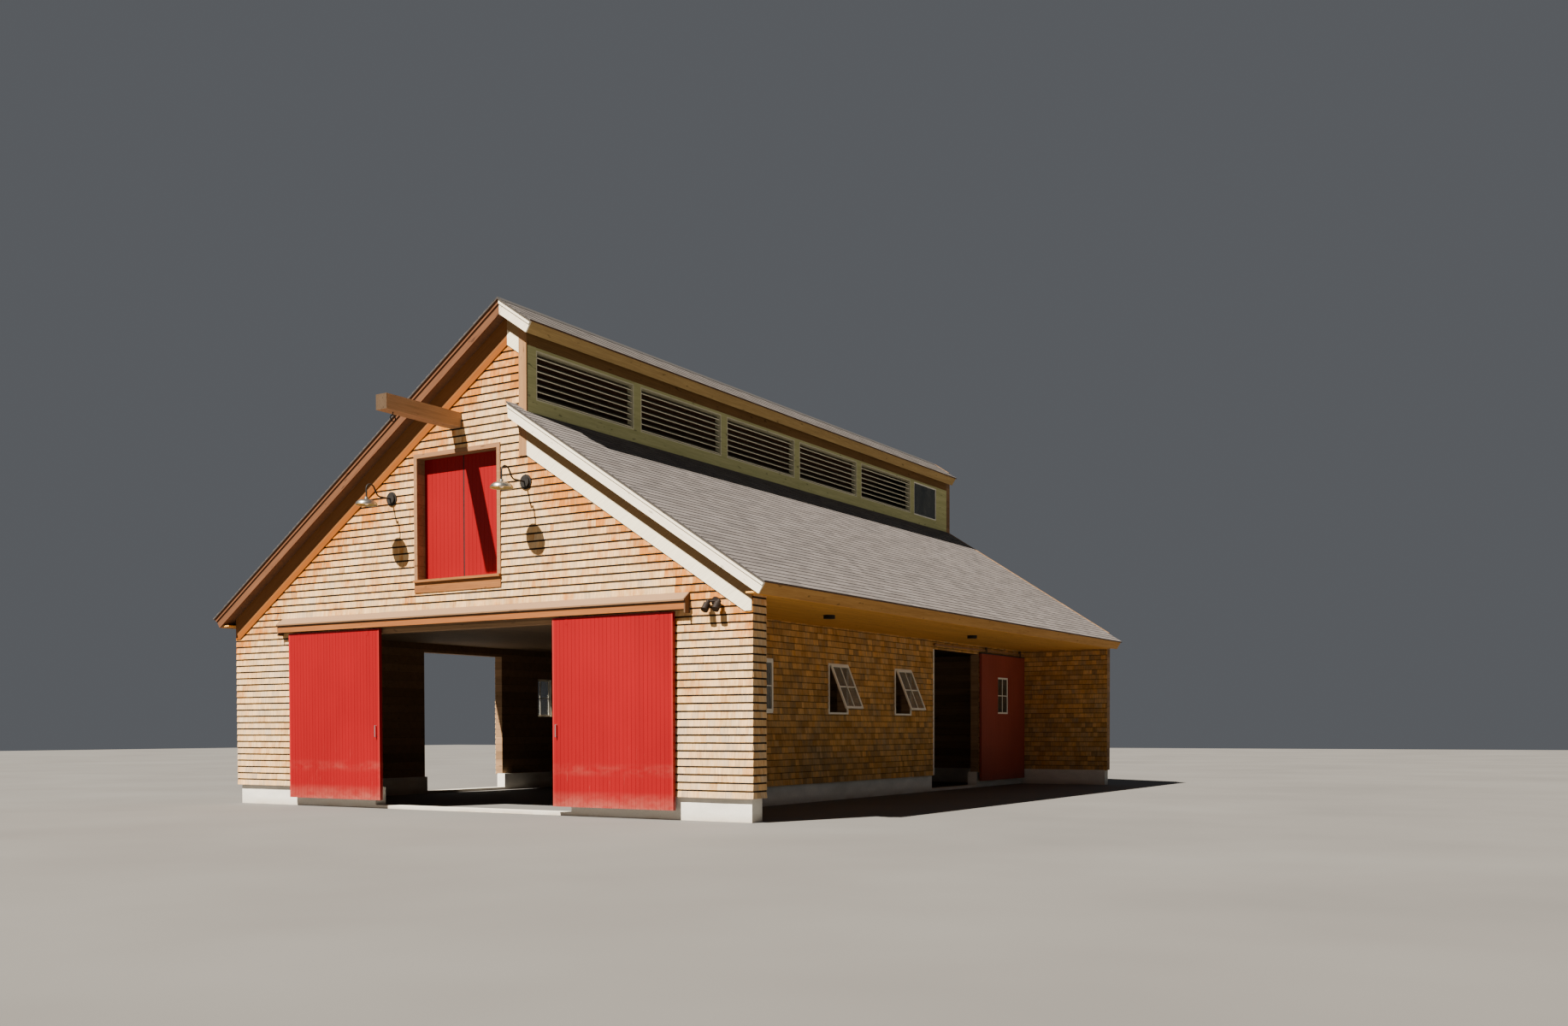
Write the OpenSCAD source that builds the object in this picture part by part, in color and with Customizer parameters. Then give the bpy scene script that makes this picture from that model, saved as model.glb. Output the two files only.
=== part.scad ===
// Shingled timber barn with an offset ridge, a louvred clerestory and a recessed porch along one side.
// X runs across the front, Y into the building, Z up. The origin lies under the middle of the front
// foundation, on the ground.

/* [Barn] */
// Width over the shingled walls
barn_w = 12690; // [12000:10:13400]
// Length from the front wall face to the rear party wall
barn_len = 17450; // [16800:10:18400]
// Thickness of the outer walls
wall_t = 220; // [160:5:260]
// Height of the foundation above the ground
foundation_h = 400; // [250:10:460]
// Thickness of the foundation
foundation_t = 250; // [200:5:300]
// How far the shingled walls stand proud of the foundation
wall_proud = 50; // [20:5:70]
// Height of the concrete sills in the doorways
sill_h = 60; // [30:5:90]
// Depth of the porch along the right side
porch_d = 2385; // [2000:5:2700]
// Length of the front wall's return at the porch
return_d = 400; // [300:10:600]
// Height of the porch ceiling and the eave soffits
soffit_z = 3640; // [3600:5:3660]
// Thickness of the ceiling and soffit boards
ceiling_t = 25; // [15:1:40]

/* [Roof] */
// Height of the roof's top at the eave tips
eave_z = 3800; // [3760:5:3900]
// Overhang of the eaves from the wall face to the roofing tip
eave_over = 405; // [330:5:480]
// Angle of the main slopes
main_angle = 33.69; // [32.4:0.01:35]
// Angle of the lower right slope
shed_angle = 32.855; // [31.7:0.005:33.7]
// Distance of the ridge from the barn's centre line
ridge_x = 1200; // [1100:10:1300]
// Distance of the clerestory's outer face from the centre line
clerestory_x = 1645; // [1560:5:1720]
// Overhang of the upper right slope beyond the clerestory
upper_over = 325; // [260:5:380]
// Thickness of the roof, square to its slope
roof_t = 235; // [200:5:260]
// Thickness of the roofing layer, square to the slope
roofing_t = 22; // [12:1:30]
// How far the roofing laps over the boards at its edges
roofing_lap = 25; // [10:1:40]
// Overhang of the roof in front of the front wall
rake_over = 230; // [160:5:300]
// Upper end of the lower right rake, from the centre line
shed_rake_x = 1392; // [1340:2:1440]
// Width of each wing of the ridge cap
cap_w = 150; // [100:5:200]
// Thickness of the ridge cap
cap_t = 12; // [6:1:20]
// Clearance between sloping faces that meet
slope_gap = 0.2; // [0.1:0.1:0.4]

/* [Trim] */
// Width of the narrow upper rake board
rake_top_w = 85; // [60:5:110]
// Thickness of the narrow upper rake board
rake_top_t = 50; // [40:1:60]
// Thickness of the wide lower rake board
rake_low_t = 30; // [20:1:38]
// Width of the frieze boards under the rakes
frieze_w = 410; // [340:5:460]
// Height at which the friezes' lower ends are cut level
frieze_foot = 3380; // [3355:5:3450]
// Thickness of the frieze boards
frieze_t = 28; // [18:1:36]
// Thickness of the eave fascia boards
fascia_t = 30; // [20:1:40]
// Width of the corner board at the clerestory
corner_w = 178; // [140:2:220]

/* [Clerestory] */
// Thickness of the clerestory frame
clerestory_t = 140; // [100:5:180]
// Bottom of the louvre openings
louvre_z = 7390; // [7330:5:7450]
// Height of the louvre openings
louvre_h = 770; // [700:5:800]
// Start of the first louvre opening, from the front wall face
louvre_start = 230; // [225:5:300]
// Distance from one louvre opening to the next
bay = 3030; // [2900:5:3080]
// Width of the posts between the openings
post_w = 220; // [140:5:280]
// Number of slats in an opening
slats = 6; // [4:1:8]
// Thickness of a slat
slat_t = 18; // [12:1:24]
// Depth of a slat
slat_d = 100; // [70:5:120]
// Tilt of a slat
slat_tilt = 38; // [30:1:45]
// Width of the rails round each louvre bank
louvre_rail = 40; // [25:1:60]
// Length of the end window's opening
end_window_w = 1400; // [1000:10:1500]
// Least distance from the end window to the rear party wall
end_window_gap = 600; // [200:10:660]

/* [Front doors] */
// Distance of the doorway's middle from the centre line
door_x = 115; // [0:5:200]
// Width of one sliding leaf
leaf_w = 2580; // [2500:10:2700]
// Height of the leaves' bottom edge
leaf_z = 165; // [120:5:200]
// Height of the leaves' top edge
leaf_top = 3430; // [3400:5:3440]
// Thickness of a leaf
leaf_t = 65; // [45:1:70]
// Gap between a leaf and the wall behind it
leaf_gap = 30; // [25:1:40]
// Distance from the doorway's middle to each leaf's inner edge, as the doors stand
leaf_open = 2155; // [2100:5:2250]
// Half of the main doorway's width
doorway_half = 2440; // [2380:10:2500]
// Height of the doorways
doorway_top = 3350; // [3280:5:3380]
// How far the hood reaches past the leaves' outer edges, as the doors stand
hood_side = 285; // [265:5:450]
// Depth of the hood in front of the wall
hood_d = 145; // [140:1:170]
// Height of the hood's fascia board
hood_face_h = 160; // [140:5:180]
// Rise of the hood's sloped top board
hood_rise = 135; // [110:5:160]
// Thickness of the hood's boards
hood_t = 25; // [18:1:28]
// How far the hood's top board stands over its fascia
hood_lip = 30; // [15:1:40]
// How far the hood's end panels reach below its fascia
hood_drop = 60; // [30:5:100]

/* [Door track] */
// Height of a track rail
rail_h = 50; // [40:1:60]
// Thickness of a track rail
rail_t = 12; // [8:1:16]
// Gap between a leaf's top edge and the rail
rail_gap = 30; // [20:1:35]
// Radius of a hanger's wheel
wheel_r = 32; // [24:1:36]
// Running clearance of a wheel on its rail
wheel_gap = 0.3; // [0.2:0.1:0.5]
// Thickness of a hanger's strap
strap_t = 6; // [4:1:8]
// Width of a hanger's strap
strap_w = 60; // [40:1:80]
// Distance of a hanger from the leaf's edge
hanger_in = 320; // [200:10:500]
// Number of brackets that hold a track
brackets = 6; // [4:1:8]

/* [Side door] */
// How far the open leaf still covers the doorway
side_way_lap = 10; // [0:5:40]
// Width of the side doorway
side_way_w = 2680; // [2500:10:2700]
// Height of the side doorway
side_way_top = 3420; // [3380:5:3440]
// Width of the side door's leaf
side_leaf_w = 2930; // [2850:10:3000]
// Distance of the open leaf from the rear party wall
side_leaf_back = 130; // [100:5:200]
// Top of the side door's leaf
side_leaf_top = 3470; // [3450:5:3480]
// Distance from the leaf's near edge to its window
side_pane_in = 1060; // [900:10:1150]
// Width of the leaf's window
side_pane_w = 710; // [600:10:800]
// Sill height of the leaf's window
side_pane_z = 1900; // [1850:10:1950]
// Height of the leaf's window
side_pane_h = 960; // [900:10:1000]

/* [Windows] */
// Width of a window opening
window_w = 760; // [700:10:850]
// Height of a window opening
window_h = 980; // [900:10:1050]
// Sill height of the windows
window_z = 1855; // [1800:5:1900]
// Middle of the first porch window, from the front wall face
side_window_y = 3960; // [3900:10:4050]
// Distance between the windows
window_bay = 3040; // [2950:10:3080]
// Number of windows in each wall
windows = 3; // [2:1:3]
// Middle of the first window in the left wall
left_window_y = 9340; // [9200:10:9450]
// Width of a window's casing
casing_w = 40; // [30:1:60]
// Thickness of a window's casing
casing_t = 30; // [20:1:40]
// Width of a sash's rails
sash_rail = 45; // [35:1:60]
// Thickness of a sash
sash_t = 35; // [28:1:45]
// Thickness of the glass
glass_t = 6; // [4:1:8]
// Angle at which the sashes stand open
sash_angle = 22; // [15:1:28]
// Clearance between a sash and its opening
sash_gap = 6; // [4:1:10]
// Number of the window in each wall that is shut, counted from 0
shut_window = 0; // [0:1:2]

/* [Left doorway] */
// Start of the doorway in the left wall
left_way_y = 4970; // [4800:10:5100]
// Width of the doorway in the left wall
left_way_w = 2630; // [2500:10:2700]

/* [Loft] */
// Distance of the loft doorway's middle from the centre line
loft_x = -70; // [-150:5:0]
// Half of the loft doorway's width
loft_half = 1000; // [900:10:1050]
// Sill height of the loft doorway
loft_z = 4290; // [4200:10:4350]
// Height of the loft doorway
loft_h = 2260; // [2100:10:2300]
// Thickness of a loft door leaf
loft_leaf_t = 45; // [30:1:55]
// Width of the loft casing
loft_casing_w = 80; // [60:2:100]
// Thickness of the loft casing
loft_casing_t = 30; // [20:1:40]
// Height of the board under the loft sill
apron_h = 190; // [140:5:220]
// Depth of the loft sill in front of the wall
loft_sill_d = 70; // [50:5:90]
// Thickness of the loft sill
loft_sill_t = 45; // [30:1:60]
// Underside of the loft floor
loft_floor_z = 3560; // [3540:5:3580]
// Thickness of the loft floor
loft_floor_t = 200; // [150:5:210]

/* [Hoist beam] */
// Width of the hoist beam
beam_w = 260; // [200:5:300]
// Height of the hoist beam
beam_h = 265; // [200:5:300]
// Underside of the hoist beam
beam_z = 7000; // [6900:10:7050]
// How far the hoist beam stands out from the wall
beam_out = 1780; // [1500:10:1900]
// Length of the hoist beam behind the wall
beam_in = 600; // [400:10:900]
// Distance of the hook from the beam's outer end
hook_in = 260; // [200:5:400]
// Radius of the hook's ring
ring_r = 55; // [40:1:70]
// Radius of the hook's round bar
ring_bar = 9; // [6:1:12]
// Length of the hook's shank
shank_l = 50; // [30:1:70]

/* [Lamps] */
// Distance of each wall lamp from the middle of the loft doorway
lamp_x = 1680; // [1600:10:1760]
// Height of the lamps' arms where they leave the wall
lamp_z = 5865; // [5750:5:5950]
// Distance from the wall to the middle of a shade
lamp_reach = 630; // [560:10:700]
// Radius of a lamp's arm
lamp_arm_r = 14; // [10:1:18]
// Radius of the bend where a lamp's arm turns up
lamp_bend = 100; // [70:5:130]
// Radius of the bend that carries a lamp's arm over
lamp_arch = 100; // [80:5:130]
// Height of the upper bend's middle above the arm at the wall
lamp_rise = 100; // [80:5:130]
// How much thicker an arm's straight lengths are than its bends
lamp_sleeve = 1; // [0.5:0.5:3]
// How far an arm's straight lengths reach over its bends
lamp_lap = 6; // [3:1:12]
// Angle at which a lamp's arm rises
lamp_angle = 60; // [45:1:75]
// Radius of a lamp's wall plate
lamp_plate_r = 130; // [100:5:150]
// Depth of a lamp's wall plate
lamp_plate_d = 60; // [40:5:80]
// Radius of a lamp's shade at its rim
shade_r = 240; // [200:5:260]
// Height of a lamp's shade
shade_h = 150; // [130:5:180]
// Radius of the shade's neck
neck_r = 55; // [45:1:65]
// Height of the shade's neck
neck_h = 50; // [35:1:60]
// Radius of the shade's shoulder
shoulder_r = 120; // [95:5:140]
// Height of the shade's shoulder above its rim
shoulder_h = 70; // [50:5:80]
// Thickness of a lamp's shade
shade_t = 5; // [3:0.5:8]
// Distance of the shade's top below the arm at the wall
shade_down = 50; // [20:5:80]

/* [Small fittings] */
// Distance of the floodlight's middle from the barn's right corner
flood_corner = 695; // [620:5:720]
// Height of the twin floodlight
flood_z = 3560; // [3500:5:3600]
// Radius of a floodlight head
flood_r = 62; // [45:1:75]
// Length of a floodlight head
flood_l = 190; // [150:5:230]
// Tilt of a floodlight head below the level
flood_angle = 52; // [35:1:65]
// Distance from one floodlight head to the other
flood_span = 210; // [180:5:260]
// Radius of the floodlight's wall plate
flood_plate_r = 75; // [60:5:90]
// Thickness of the floodlight's wall plate
flood_plate_t = 35; // [25:1:50]
// Distance of the floodlight's bar from the wall
flood_out = 70; // [60:5:90]
// Radius of the floodlight's bar
flood_bar_r = 16; // [10:1:20]
// Radius of a ceiling light
porch_light_r = 110; // [80:5:140]
// Depth of a ceiling light
porch_light_d = 70; // [50:5:100]
// Distance of the ceiling lights from the porch wall
porch_light_x = 1450; // [1000:10:1800]
// Place of the first ceiling light, from the front wall face
porch_light_y = 4100; // [3800:10:4400]
// Distance between the ceiling lights
porch_light_bay = 6600; // [6000:10:6800]
// Length of a door pull
pull_l = 220; // [180:5:280]
// Height of the middle of a door pull
pull_z = 1480; // [1380:10:1580]
// Distance of a pull from the leaf's edge
pull_in = 90; // [60:5:140]
// Depth of a door pull
pull_d = 38; // [28:1:45]
// Radius of a door pull's bar
pull_r = 9; // [6:1:12]

/* [Hidden] */
$fn = 32;
clear = 1;
half_w = barn_w / 2;
eave_x = half_w + eave_over;
main_pitch = tan(main_angle);
shed_pitch = tan(shed_angle);
main_cos = 1 / sqrt(1 + main_pitch * main_pitch);
shed_cos = 1 / sqrt(1 + shed_pitch * shed_pitch);
main_sin = main_pitch * main_cos;
shed_sin = shed_pitch * shed_cos;
ridge_z = eave_z + (eave_x + ridge_x) * main_pitch;
upper_tip_x = clerestory_x + upper_over;
upper_tip_z = ridge_z - (upper_tip_x - ridge_x) * main_pitch;
main_drop = (roof_t + slope_gap) / main_cos;
shed_drop = (roof_t + slope_gap) / shed_cos;
side_x = half_w - porch_d;
found_x = half_w - wall_proud;
found_side_x = side_x - wall_proud;
front_shift = wall_proud + foundation_t / 2;
rake_back = rake_low_t - rake_over;
rake_front = rake_back - rake_top_t;
roofing_y = rake_front - roofing_lap;
split_z = doorway_top;
loft_top = loft_floor_z + loft_floor_t;
leaf_back = -leaf_gap;
leaf_front = leaf_back - leaf_t;
leaf_mid = (leaf_back + leaf_front) / 2;
rail_z = leaf_top + rail_gap;
rail_top = rail_z + rail_h;
side_rail_z = side_leaf_top + rail_gap;
side_leaf_y = barn_len - side_leaf_back - side_leaf_w;
side_way_y = side_leaf_y + side_way_lap - side_way_w;
wheel_z = wheel_r + wheel_gap;
hood_half = leaf_open + leaf_w + hood_side;
hood_z = leaf_top + hood_t;
hood_top_z = hood_z + hood_face_h;
flood_x = half_w - flood_corner;
window_top = window_z + window_h;
colour_shingle = [0.78, 0.62, 0.45];
colour_shade = [0.45, 0.33, 0.2];
colour_trim = [0.88, 0.79, 0.64];
colour_red = [0.76, 0.11, 0.1];
colour_roof = [0.4, 0.38, 0.37];
colour_concrete = [0.82, 0.81, 0.77];
colour_metal = [0.6, 0.6, 0.58];
colour_cream = [0.93, 0.9, 0.8];

// As many louvres as fit before the end window
louvres = floor((barn_len - louvre_start - end_window_w - end_window_gap) / bay);

function main_top(x) = eave_z + (eave_x + x) * main_pitch;
function shed_top(x) = eave_z + (eave_x - x) * shed_pitch;
function louvre_y(i) = louvre_start + i * bay;
function side_window(i) = side_window_y + i * window_bay;
function left_window(i) = left_window_y + i * window_bay;

// Moves the wall's frame so that the origin lies under the middle of the front foundation
module place() translate([0, -front_shift, 0]) children();

// Carries a profile drawn in X and Z along Y
module along_y(y0, y1) translate([0, y1, 0]) rotate([90, 0, 0]) linear_extrude(y1 - y0) children();

// Carries a profile drawn in Y and Z along X
module along_x(x0, x1) translate([x0, 0, 0]) rotate([90, 0, 90]) linear_extrude(x1 - x0) children();

module box(x0, x1, y0, y1, z0, z1) translate([x0, y0, z0]) cube([x1 - x0, y1 - y0, z1 - z0]);

// A band of a main slope: from depth d0 to depth d1 under the roof's top, square cut at the eave
module main_band(tip, d0, d1, x_end, back = 0)
    polygon([
        [-tip + back + d0 * main_sin, main_top(-tip + back) - d0 * main_cos],
        [x_end, main_top(x_end) - d0 / main_cos],
        [x_end, main_top(x_end) - d1 / main_cos],
        [-tip + back + d1 * main_sin, main_top(-tip + back) - d1 * main_cos]
    ]);

// The same band on the short slope right of the ridge
module upper_band(d0, d1, back = 0, x0 = ridge_x)
    polygon([
        [x0, ridge_z - (x0 - ridge_x) * main_pitch - d0 / main_cos],
        [upper_tip_x - back - d0 * main_sin, upper_tip_z + back * main_pitch - d0 * main_cos],
        [upper_tip_x - back - d1 * main_sin, upper_tip_z + back * main_pitch - d1 * main_cos],
        [x0, ridge_z - (x0 - ridge_x) * main_pitch - d1 / main_cos]
    ]);

// Both main slopes' bands in one outline, from the left eave over the ridge to the right tip
module ridge_band(d0, d1, back)
    polygon([
        [-eave_x + back + d0 * main_sin, main_top(-eave_x + back) - d0 * main_cos],
        [ridge_x, ridge_z - d0 / main_cos],
        [upper_tip_x - back - d0 * main_sin, upper_tip_z + back * main_pitch - d0 * main_cos],
        [upper_tip_x - back - d1 * main_sin, upper_tip_z + back * main_pitch - d1 * main_cos],
        [ridge_x, ridge_z - d1 / main_cos],
        [-eave_x + back + d1 * main_sin, main_top(-eave_x + back) - d1 * main_cos]
    ]);

// The same band on the lower right slope, from x0 to its eave
module shed_band(x0, d0, d1, back = 0)
    polygon([
        [x0, shed_top(x0) - d0 / shed_cos],
        [eave_x - back - d0 * shed_sin, shed_top(eave_x - back) - d0 * shed_cos],
        [eave_x - back - d1 * shed_sin, shed_top(eave_x - back) - d1 * shed_cos],
        [x0, shed_top(x0) - d1 / shed_cos]
    ]);

// The loft doorway, its lamps and the hoist beam share one middle line, and the front doors another
module at_loft() translate([loft_x, 0, 0]) children();

module at_doors() translate([door_x, 0, 0]) children();

module foundation_strip(x0, x1, y0, y1) box(x0, x1, y0, y1, 0, foundation_h);

module foundation()
    color(colour_concrete) place() difference() {
        union() {
            foundation_strip(-found_x, found_x, wall_proud, wall_proud + foundation_t);
            foundation_strip(found_x - foundation_t, found_x, wall_proud, return_d - wall_proud);
            foundation_strip(-found_x, -found_x + foundation_t, wall_proud, barn_len);
            foundation_strip(found_side_x - foundation_t, found_side_x, wall_proud, barn_len);
            foundation_strip(-found_x, found_x, barn_len - foundation_t + wall_t, barn_len + wall_t);
        }
        box(door_x - doorway_half, door_x + doorway_half, 0, wall_proud + foundation_t + clear,
            sill_h, foundation_h + clear);
        box(-half_w, -found_x + foundation_t + clear, left_way_y, left_way_y + left_way_w,
            sill_h, foundation_h + clear);
        box(found_side_x - foundation_t - clear, side_x, side_way_y, side_way_y + side_way_w,
            sill_h, foundation_h + clear);
    }

module front_wall_left()
    color(colour_shingle) place() box(-half_w, door_x - doorway_half, 0, wall_t, foundation_h, split_z);

module front_wall_right()
    color(colour_shingle) place() {
        box(door_x + doorway_half, half_w, 0, wall_t, foundation_h, split_z);
        box(half_w - wall_t, half_w, wall_t, return_d, foundation_h, soffit_z);
    }

// Outline of the front wall above the doorway's top, under the roof
module gable_outline()
    polygon([
        [-half_w, split_z],
        [half_w, split_z],
        [half_w, shed_top(half_w) - shed_drop],
        [clerestory_x, shed_top(clerestory_x) - shed_drop],
        [clerestory_x, ridge_z - (clerestory_x - ridge_x) * main_pitch - main_drop],
        [ridge_x, ridge_z - main_drop],
        [-half_w, main_top(-half_w) - main_drop]
    ]);

module front_gable_wall()
    color(colour_shingle) place() difference() {
        along_y(0, wall_t) gable_outline();
        at_loft() {
            box(-loft_half, loft_half, -clear, wall_t + clear, loft_z, loft_z + loft_h);
            box(-beam_w / 2, beam_w / 2, -clear, wall_t + clear, beam_z, beam_z + beam_h);
        }
    }

// The left wall's top follows the roof's underside
module left_wall(y0, y1, z0)
    along_y(y0, y1) polygon([
        [-half_w, z0],
        [-half_w + wall_t, z0],
        [-half_w + wall_t, main_top(-half_w + wall_t) - main_drop],
        [-half_w, main_top(-half_w) - main_drop]
    ]);

module left_wall_front()
    color(colour_shingle) place() left_wall(wall_t, left_way_y, foundation_h);

module left_wall_header()
    color(colour_shingle) place() left_wall(left_way_y, left_way_y + left_way_w, split_z);

module left_wall_rear()
    color(colour_shingle) place() difference() {
        left_wall(left_way_y + left_way_w, barn_len, foundation_h);
        for (i = [0:windows - 1])
            box(-half_w - clear, -half_w + wall_t + clear, left_window(i) - window_w / 2,
                left_window(i) + window_w / 2, window_z, window_top);
    }

// The wall behind the porch rises to the underside of the lower roof
module side_wall(y0, y1, z0)
    along_y(y0, y1) polygon([
        [side_x - wall_t, z0],
        [side_x, z0],
        [side_x, shed_top(side_x) - shed_drop],
        [side_x - wall_t, shed_top(side_x - wall_t) - shed_drop]
    ]);

module side_wall_front()
    color(colour_shade) place() difference() {
        side_wall(wall_t, side_way_y, foundation_h);
        for (i = [0:windows - 1])
            box(side_x - wall_t - clear, side_x + clear, side_window(i) - window_w / 2,
                side_window(i) + window_w / 2, window_z, window_top);
    }

module side_wall_header()
    color(colour_shade) place() side_wall(side_way_y, side_way_y + side_way_w, side_way_top);

module side_wall_rear()
    color(colour_shade) place() side_wall(side_way_y + side_way_w, barn_len, foundation_h);

// The party wall's outline is the roof's own top line
module rear_party_wall()
    color(colour_shingle) place() along_y(barn_len, barn_len + wall_t) polygon([
        [-half_w, foundation_h],
        [half_w, foundation_h],
        [half_w, shed_top(half_w)],
        [clerestory_x, shed_top(clerestory_x)],
        [clerestory_x, ridge_z - (clerestory_x - ridge_x) * main_pitch],
        [ridge_x, ridge_z],
        [-half_w, main_top(-half_w)]
    ]);

module loft_floor()
    color(colour_shade) place()
        box(-half_w + wall_t, side_x - wall_t, wall_t, barn_len, loft_floor_z, loft_top);

module clerestory_frame()
    color([0.5, 0.5, 0.38]) place() difference() {
        along_y(wall_t, barn_len) polygon([
            [clerestory_x - clerestory_t, shed_top(clerestory_x) - shed_drop],
            [clerestory_x, shed_top(clerestory_x) - shed_drop],
            [clerestory_x, ridge_z - (clerestory_x - ridge_x) * main_pitch - main_drop],
            [clerestory_x - clerestory_t,
                ridge_z - (clerestory_x - clerestory_t - ridge_x) * main_pitch - main_drop]
        ]);
        for (i = [0:louvres - 1])
            box(clerestory_x - clerestory_t - clear, clerestory_x + clear, louvre_y(i),
                louvre_y(i + 1) - post_w, louvre_z, louvre_z + louvre_h);
        box(clerestory_x - clerestory_t - clear, clerestory_x + clear, louvre_y(louvres),
            louvre_y(louvres) + end_window_w, louvre_z, louvre_z + louvre_h);
    }

// One bank: a rail all round and tilted slats that end in it
module louvre_bank(y0, y1) {
    x0 = clerestory_x - clerestory_t;
    pitch = (louvre_h - 2 * louvre_rail) / slats;
    difference() {
        box(x0, clerestory_x, y0, y1, louvre_z, louvre_z + louvre_h);
        box(x0 - clear, clerestory_x + clear, y0 + louvre_rail, y1 - louvre_rail,
            louvre_z + louvre_rail, louvre_z + louvre_h - louvre_rail);
    }
    for (i = [0:slats - 1])
        translate([clerestory_x - clerestory_t / 2, y0 + louvre_rail, louvre_z + louvre_rail + pitch * (i + 0.5)])
            rotate([0, slat_tilt, 0])
                translate([-slat_d / 2, 0, -slat_t / 2]) cube([slat_d, y1 - y0 - 2 * louvre_rail, slat_t]);
}

module clerestory_louvres()
    color([0.62, 0.6, 0.5]) place()
        for (i = [0:louvres - 1]) louvre_bank(louvre_y(i), louvre_y(i + 1) - post_w);

module clerestory_window()
    color([0.55, 0.5, 0.4]) place() {
        y0 = louvre_y(louvres);
        y1 = y0 + end_window_w;
        x0 = clerestory_x - clerestory_t / 2 - sash_t / 2;
        difference() {
            box(x0, x0 + sash_t, y0, y1, louvre_z, louvre_z + louvre_h);
            box(x0 - clear, x0 + sash_t + clear, y0 + sash_rail, y1 - sash_rail,
                louvre_z + sash_rail, louvre_z + louvre_h - sash_rail);
        }
        box(x0 + (sash_t - glass_t) / 2, x0 + (sash_t + glass_t) / 2, y0 + sash_rail, y1 - sash_rail,
            louvre_z + sash_rail, louvre_z + louvre_h - sash_rail);
    }

// The board at the clerestory's front corner stands on the lower roof's overhang and goes on below it
module corner_board()
    color(colour_trim) place() difference() {
        along_y(-frieze_t, 0) polygon([
            [clerestory_x - corner_w, shed_top(clerestory_x) - shed_drop - frieze_w / shed_cos],
            [clerestory_x, shed_top(clerestory_x) - shed_drop - frieze_w / shed_cos],
            [clerestory_x, ridge_z - (clerestory_x - ridge_x) * main_pitch - main_drop],
            [clerestory_x - corner_w, ridge_z - (clerestory_x - corner_w - ridge_x) * main_pitch - main_drop]
        ]);
        along_y(-frieze_t - clear, clear) shed_band(shed_rake_x, -slope_gap, roof_t + slope_gap);
    }

// A slope whose roofing laps over the boards at its edges: the children are the whole slope, what lies
// under its roofing, and the part of that which stays
module lapped_slope()
    difference() {
        along_y(roofing_y, barn_len) children(0);
        difference() {
            along_y(roofing_y - clear, barn_len + clear) children(1);
            along_y(rake_back, barn_len + 2 * clear) children(2);
        }
    }

module left_roof()
    color(colour_roof) place() lapped_slope() {
        main_band(eave_x, 0, roof_t, ridge_x);
        main_band(eave_x, roofing_t, roof_t + clear, ridge_x + clear, -clear);
        main_band(eave_x, -clear, roof_t + 2 * clear, ridge_x + 2 * clear, (roofing_lap + fascia_t) * main_cos);
    }

module upper_right_roof()
    color(colour_roof) place() lapped_slope() {
        upper_band(0, roof_t);
        upper_band(roofing_t, roof_t + clear, -clear, ridge_x - clear);
        upper_band(-clear, roof_t + 2 * clear, (roofing_lap + fascia_t) * main_cos, ridge_x - 2 * clear);
    }

// Behind the front wall the lower slope starts at the clerestory
module lower_right_roof()
    color(colour_roof) place() difference() {
        lapped_slope() {
            shed_band(shed_rake_x, 0, roof_t);
            shed_band(shed_rake_x - clear, roofing_t, roof_t + clear, -clear);
            shed_band(shed_rake_x - 2 * clear, -clear, roof_t + 2 * clear, (roofing_lap + fascia_t) * shed_cos);
        }
        box(shed_rake_x - clear, clerestory_x, 0, barn_len + clear, soffit_z, ridge_z);
    }

module ridge_cap()
    color(colour_roof) place() translate([0, 0, slope_gap]) along_y(roofing_y, barn_len)
        polygon([
            [ridge_x, ridge_z],
            [ridge_x - cap_w, ridge_z - cap_w * main_pitch],
            [ridge_x - cap_w, ridge_z - cap_w * main_pitch + cap_t],
            [ridge_x, ridge_z + cap_t],
            [ridge_x + cap_w, ridge_z - cap_w * main_pitch + cap_t],
            [ridge_x + cap_w, ridge_z - cap_w * main_pitch]
        ]);

// A rake is a board that stands further out along its top edge
module upper_rake()
    color(colour_trim) place() difference() {
        along_y(rake_front, rake_back) ridge_band(roofing_t + slope_gap, roof_t, roofing_lap * main_cos);
        along_y(rake_front - clear, -rake_over) ridge_band(rake_top_w, roof_t + clear, 0);
    }

module lower_rake()
    color(colour_trim) place() difference() {
        along_y(rake_front, rake_back)
            shed_band(shed_rake_x, roofing_t + slope_gap, roof_t, roofing_lap * shed_cos);
        along_y(rake_front - clear, -rake_over) shed_band(shed_rake_x - clear, rake_top_w, roof_t + clear);
    }

module frieze_boards()
    color(colour_trim) place() along_y(-frieze_t, 0) {
        polygon([
            [-half_w, main_top(-half_w) - main_drop],
            [-half_w, frieze_foot],
            [(frieze_foot + main_drop + frieze_w / main_cos - eave_z) / main_pitch - eave_x, frieze_foot],
            [ridge_x, ridge_z - main_drop - frieze_w / main_cos],
            [clerestory_x - corner_w,
                ridge_z - (clerestory_x - corner_w - ridge_x) * main_pitch - main_drop - frieze_w / main_cos],
            [clerestory_x - corner_w, ridge_z - (clerestory_x - corner_w - ridge_x) * main_pitch - main_drop],
            [ridge_x, ridge_z - main_drop]
        ]);
        polygon([
            [clerestory_x, shed_top(clerestory_x) - shed_drop],
            [half_w, shed_top(half_w) - shed_drop],
            [half_w, frieze_foot],
            [eave_x - (frieze_foot + shed_drop + frieze_w / shed_cos - eave_z) / shed_pitch, frieze_foot],
            [clerestory_x, shed_top(clerestory_x) - shed_drop - frieze_w / shed_cos]
        ]);
    }

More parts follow.
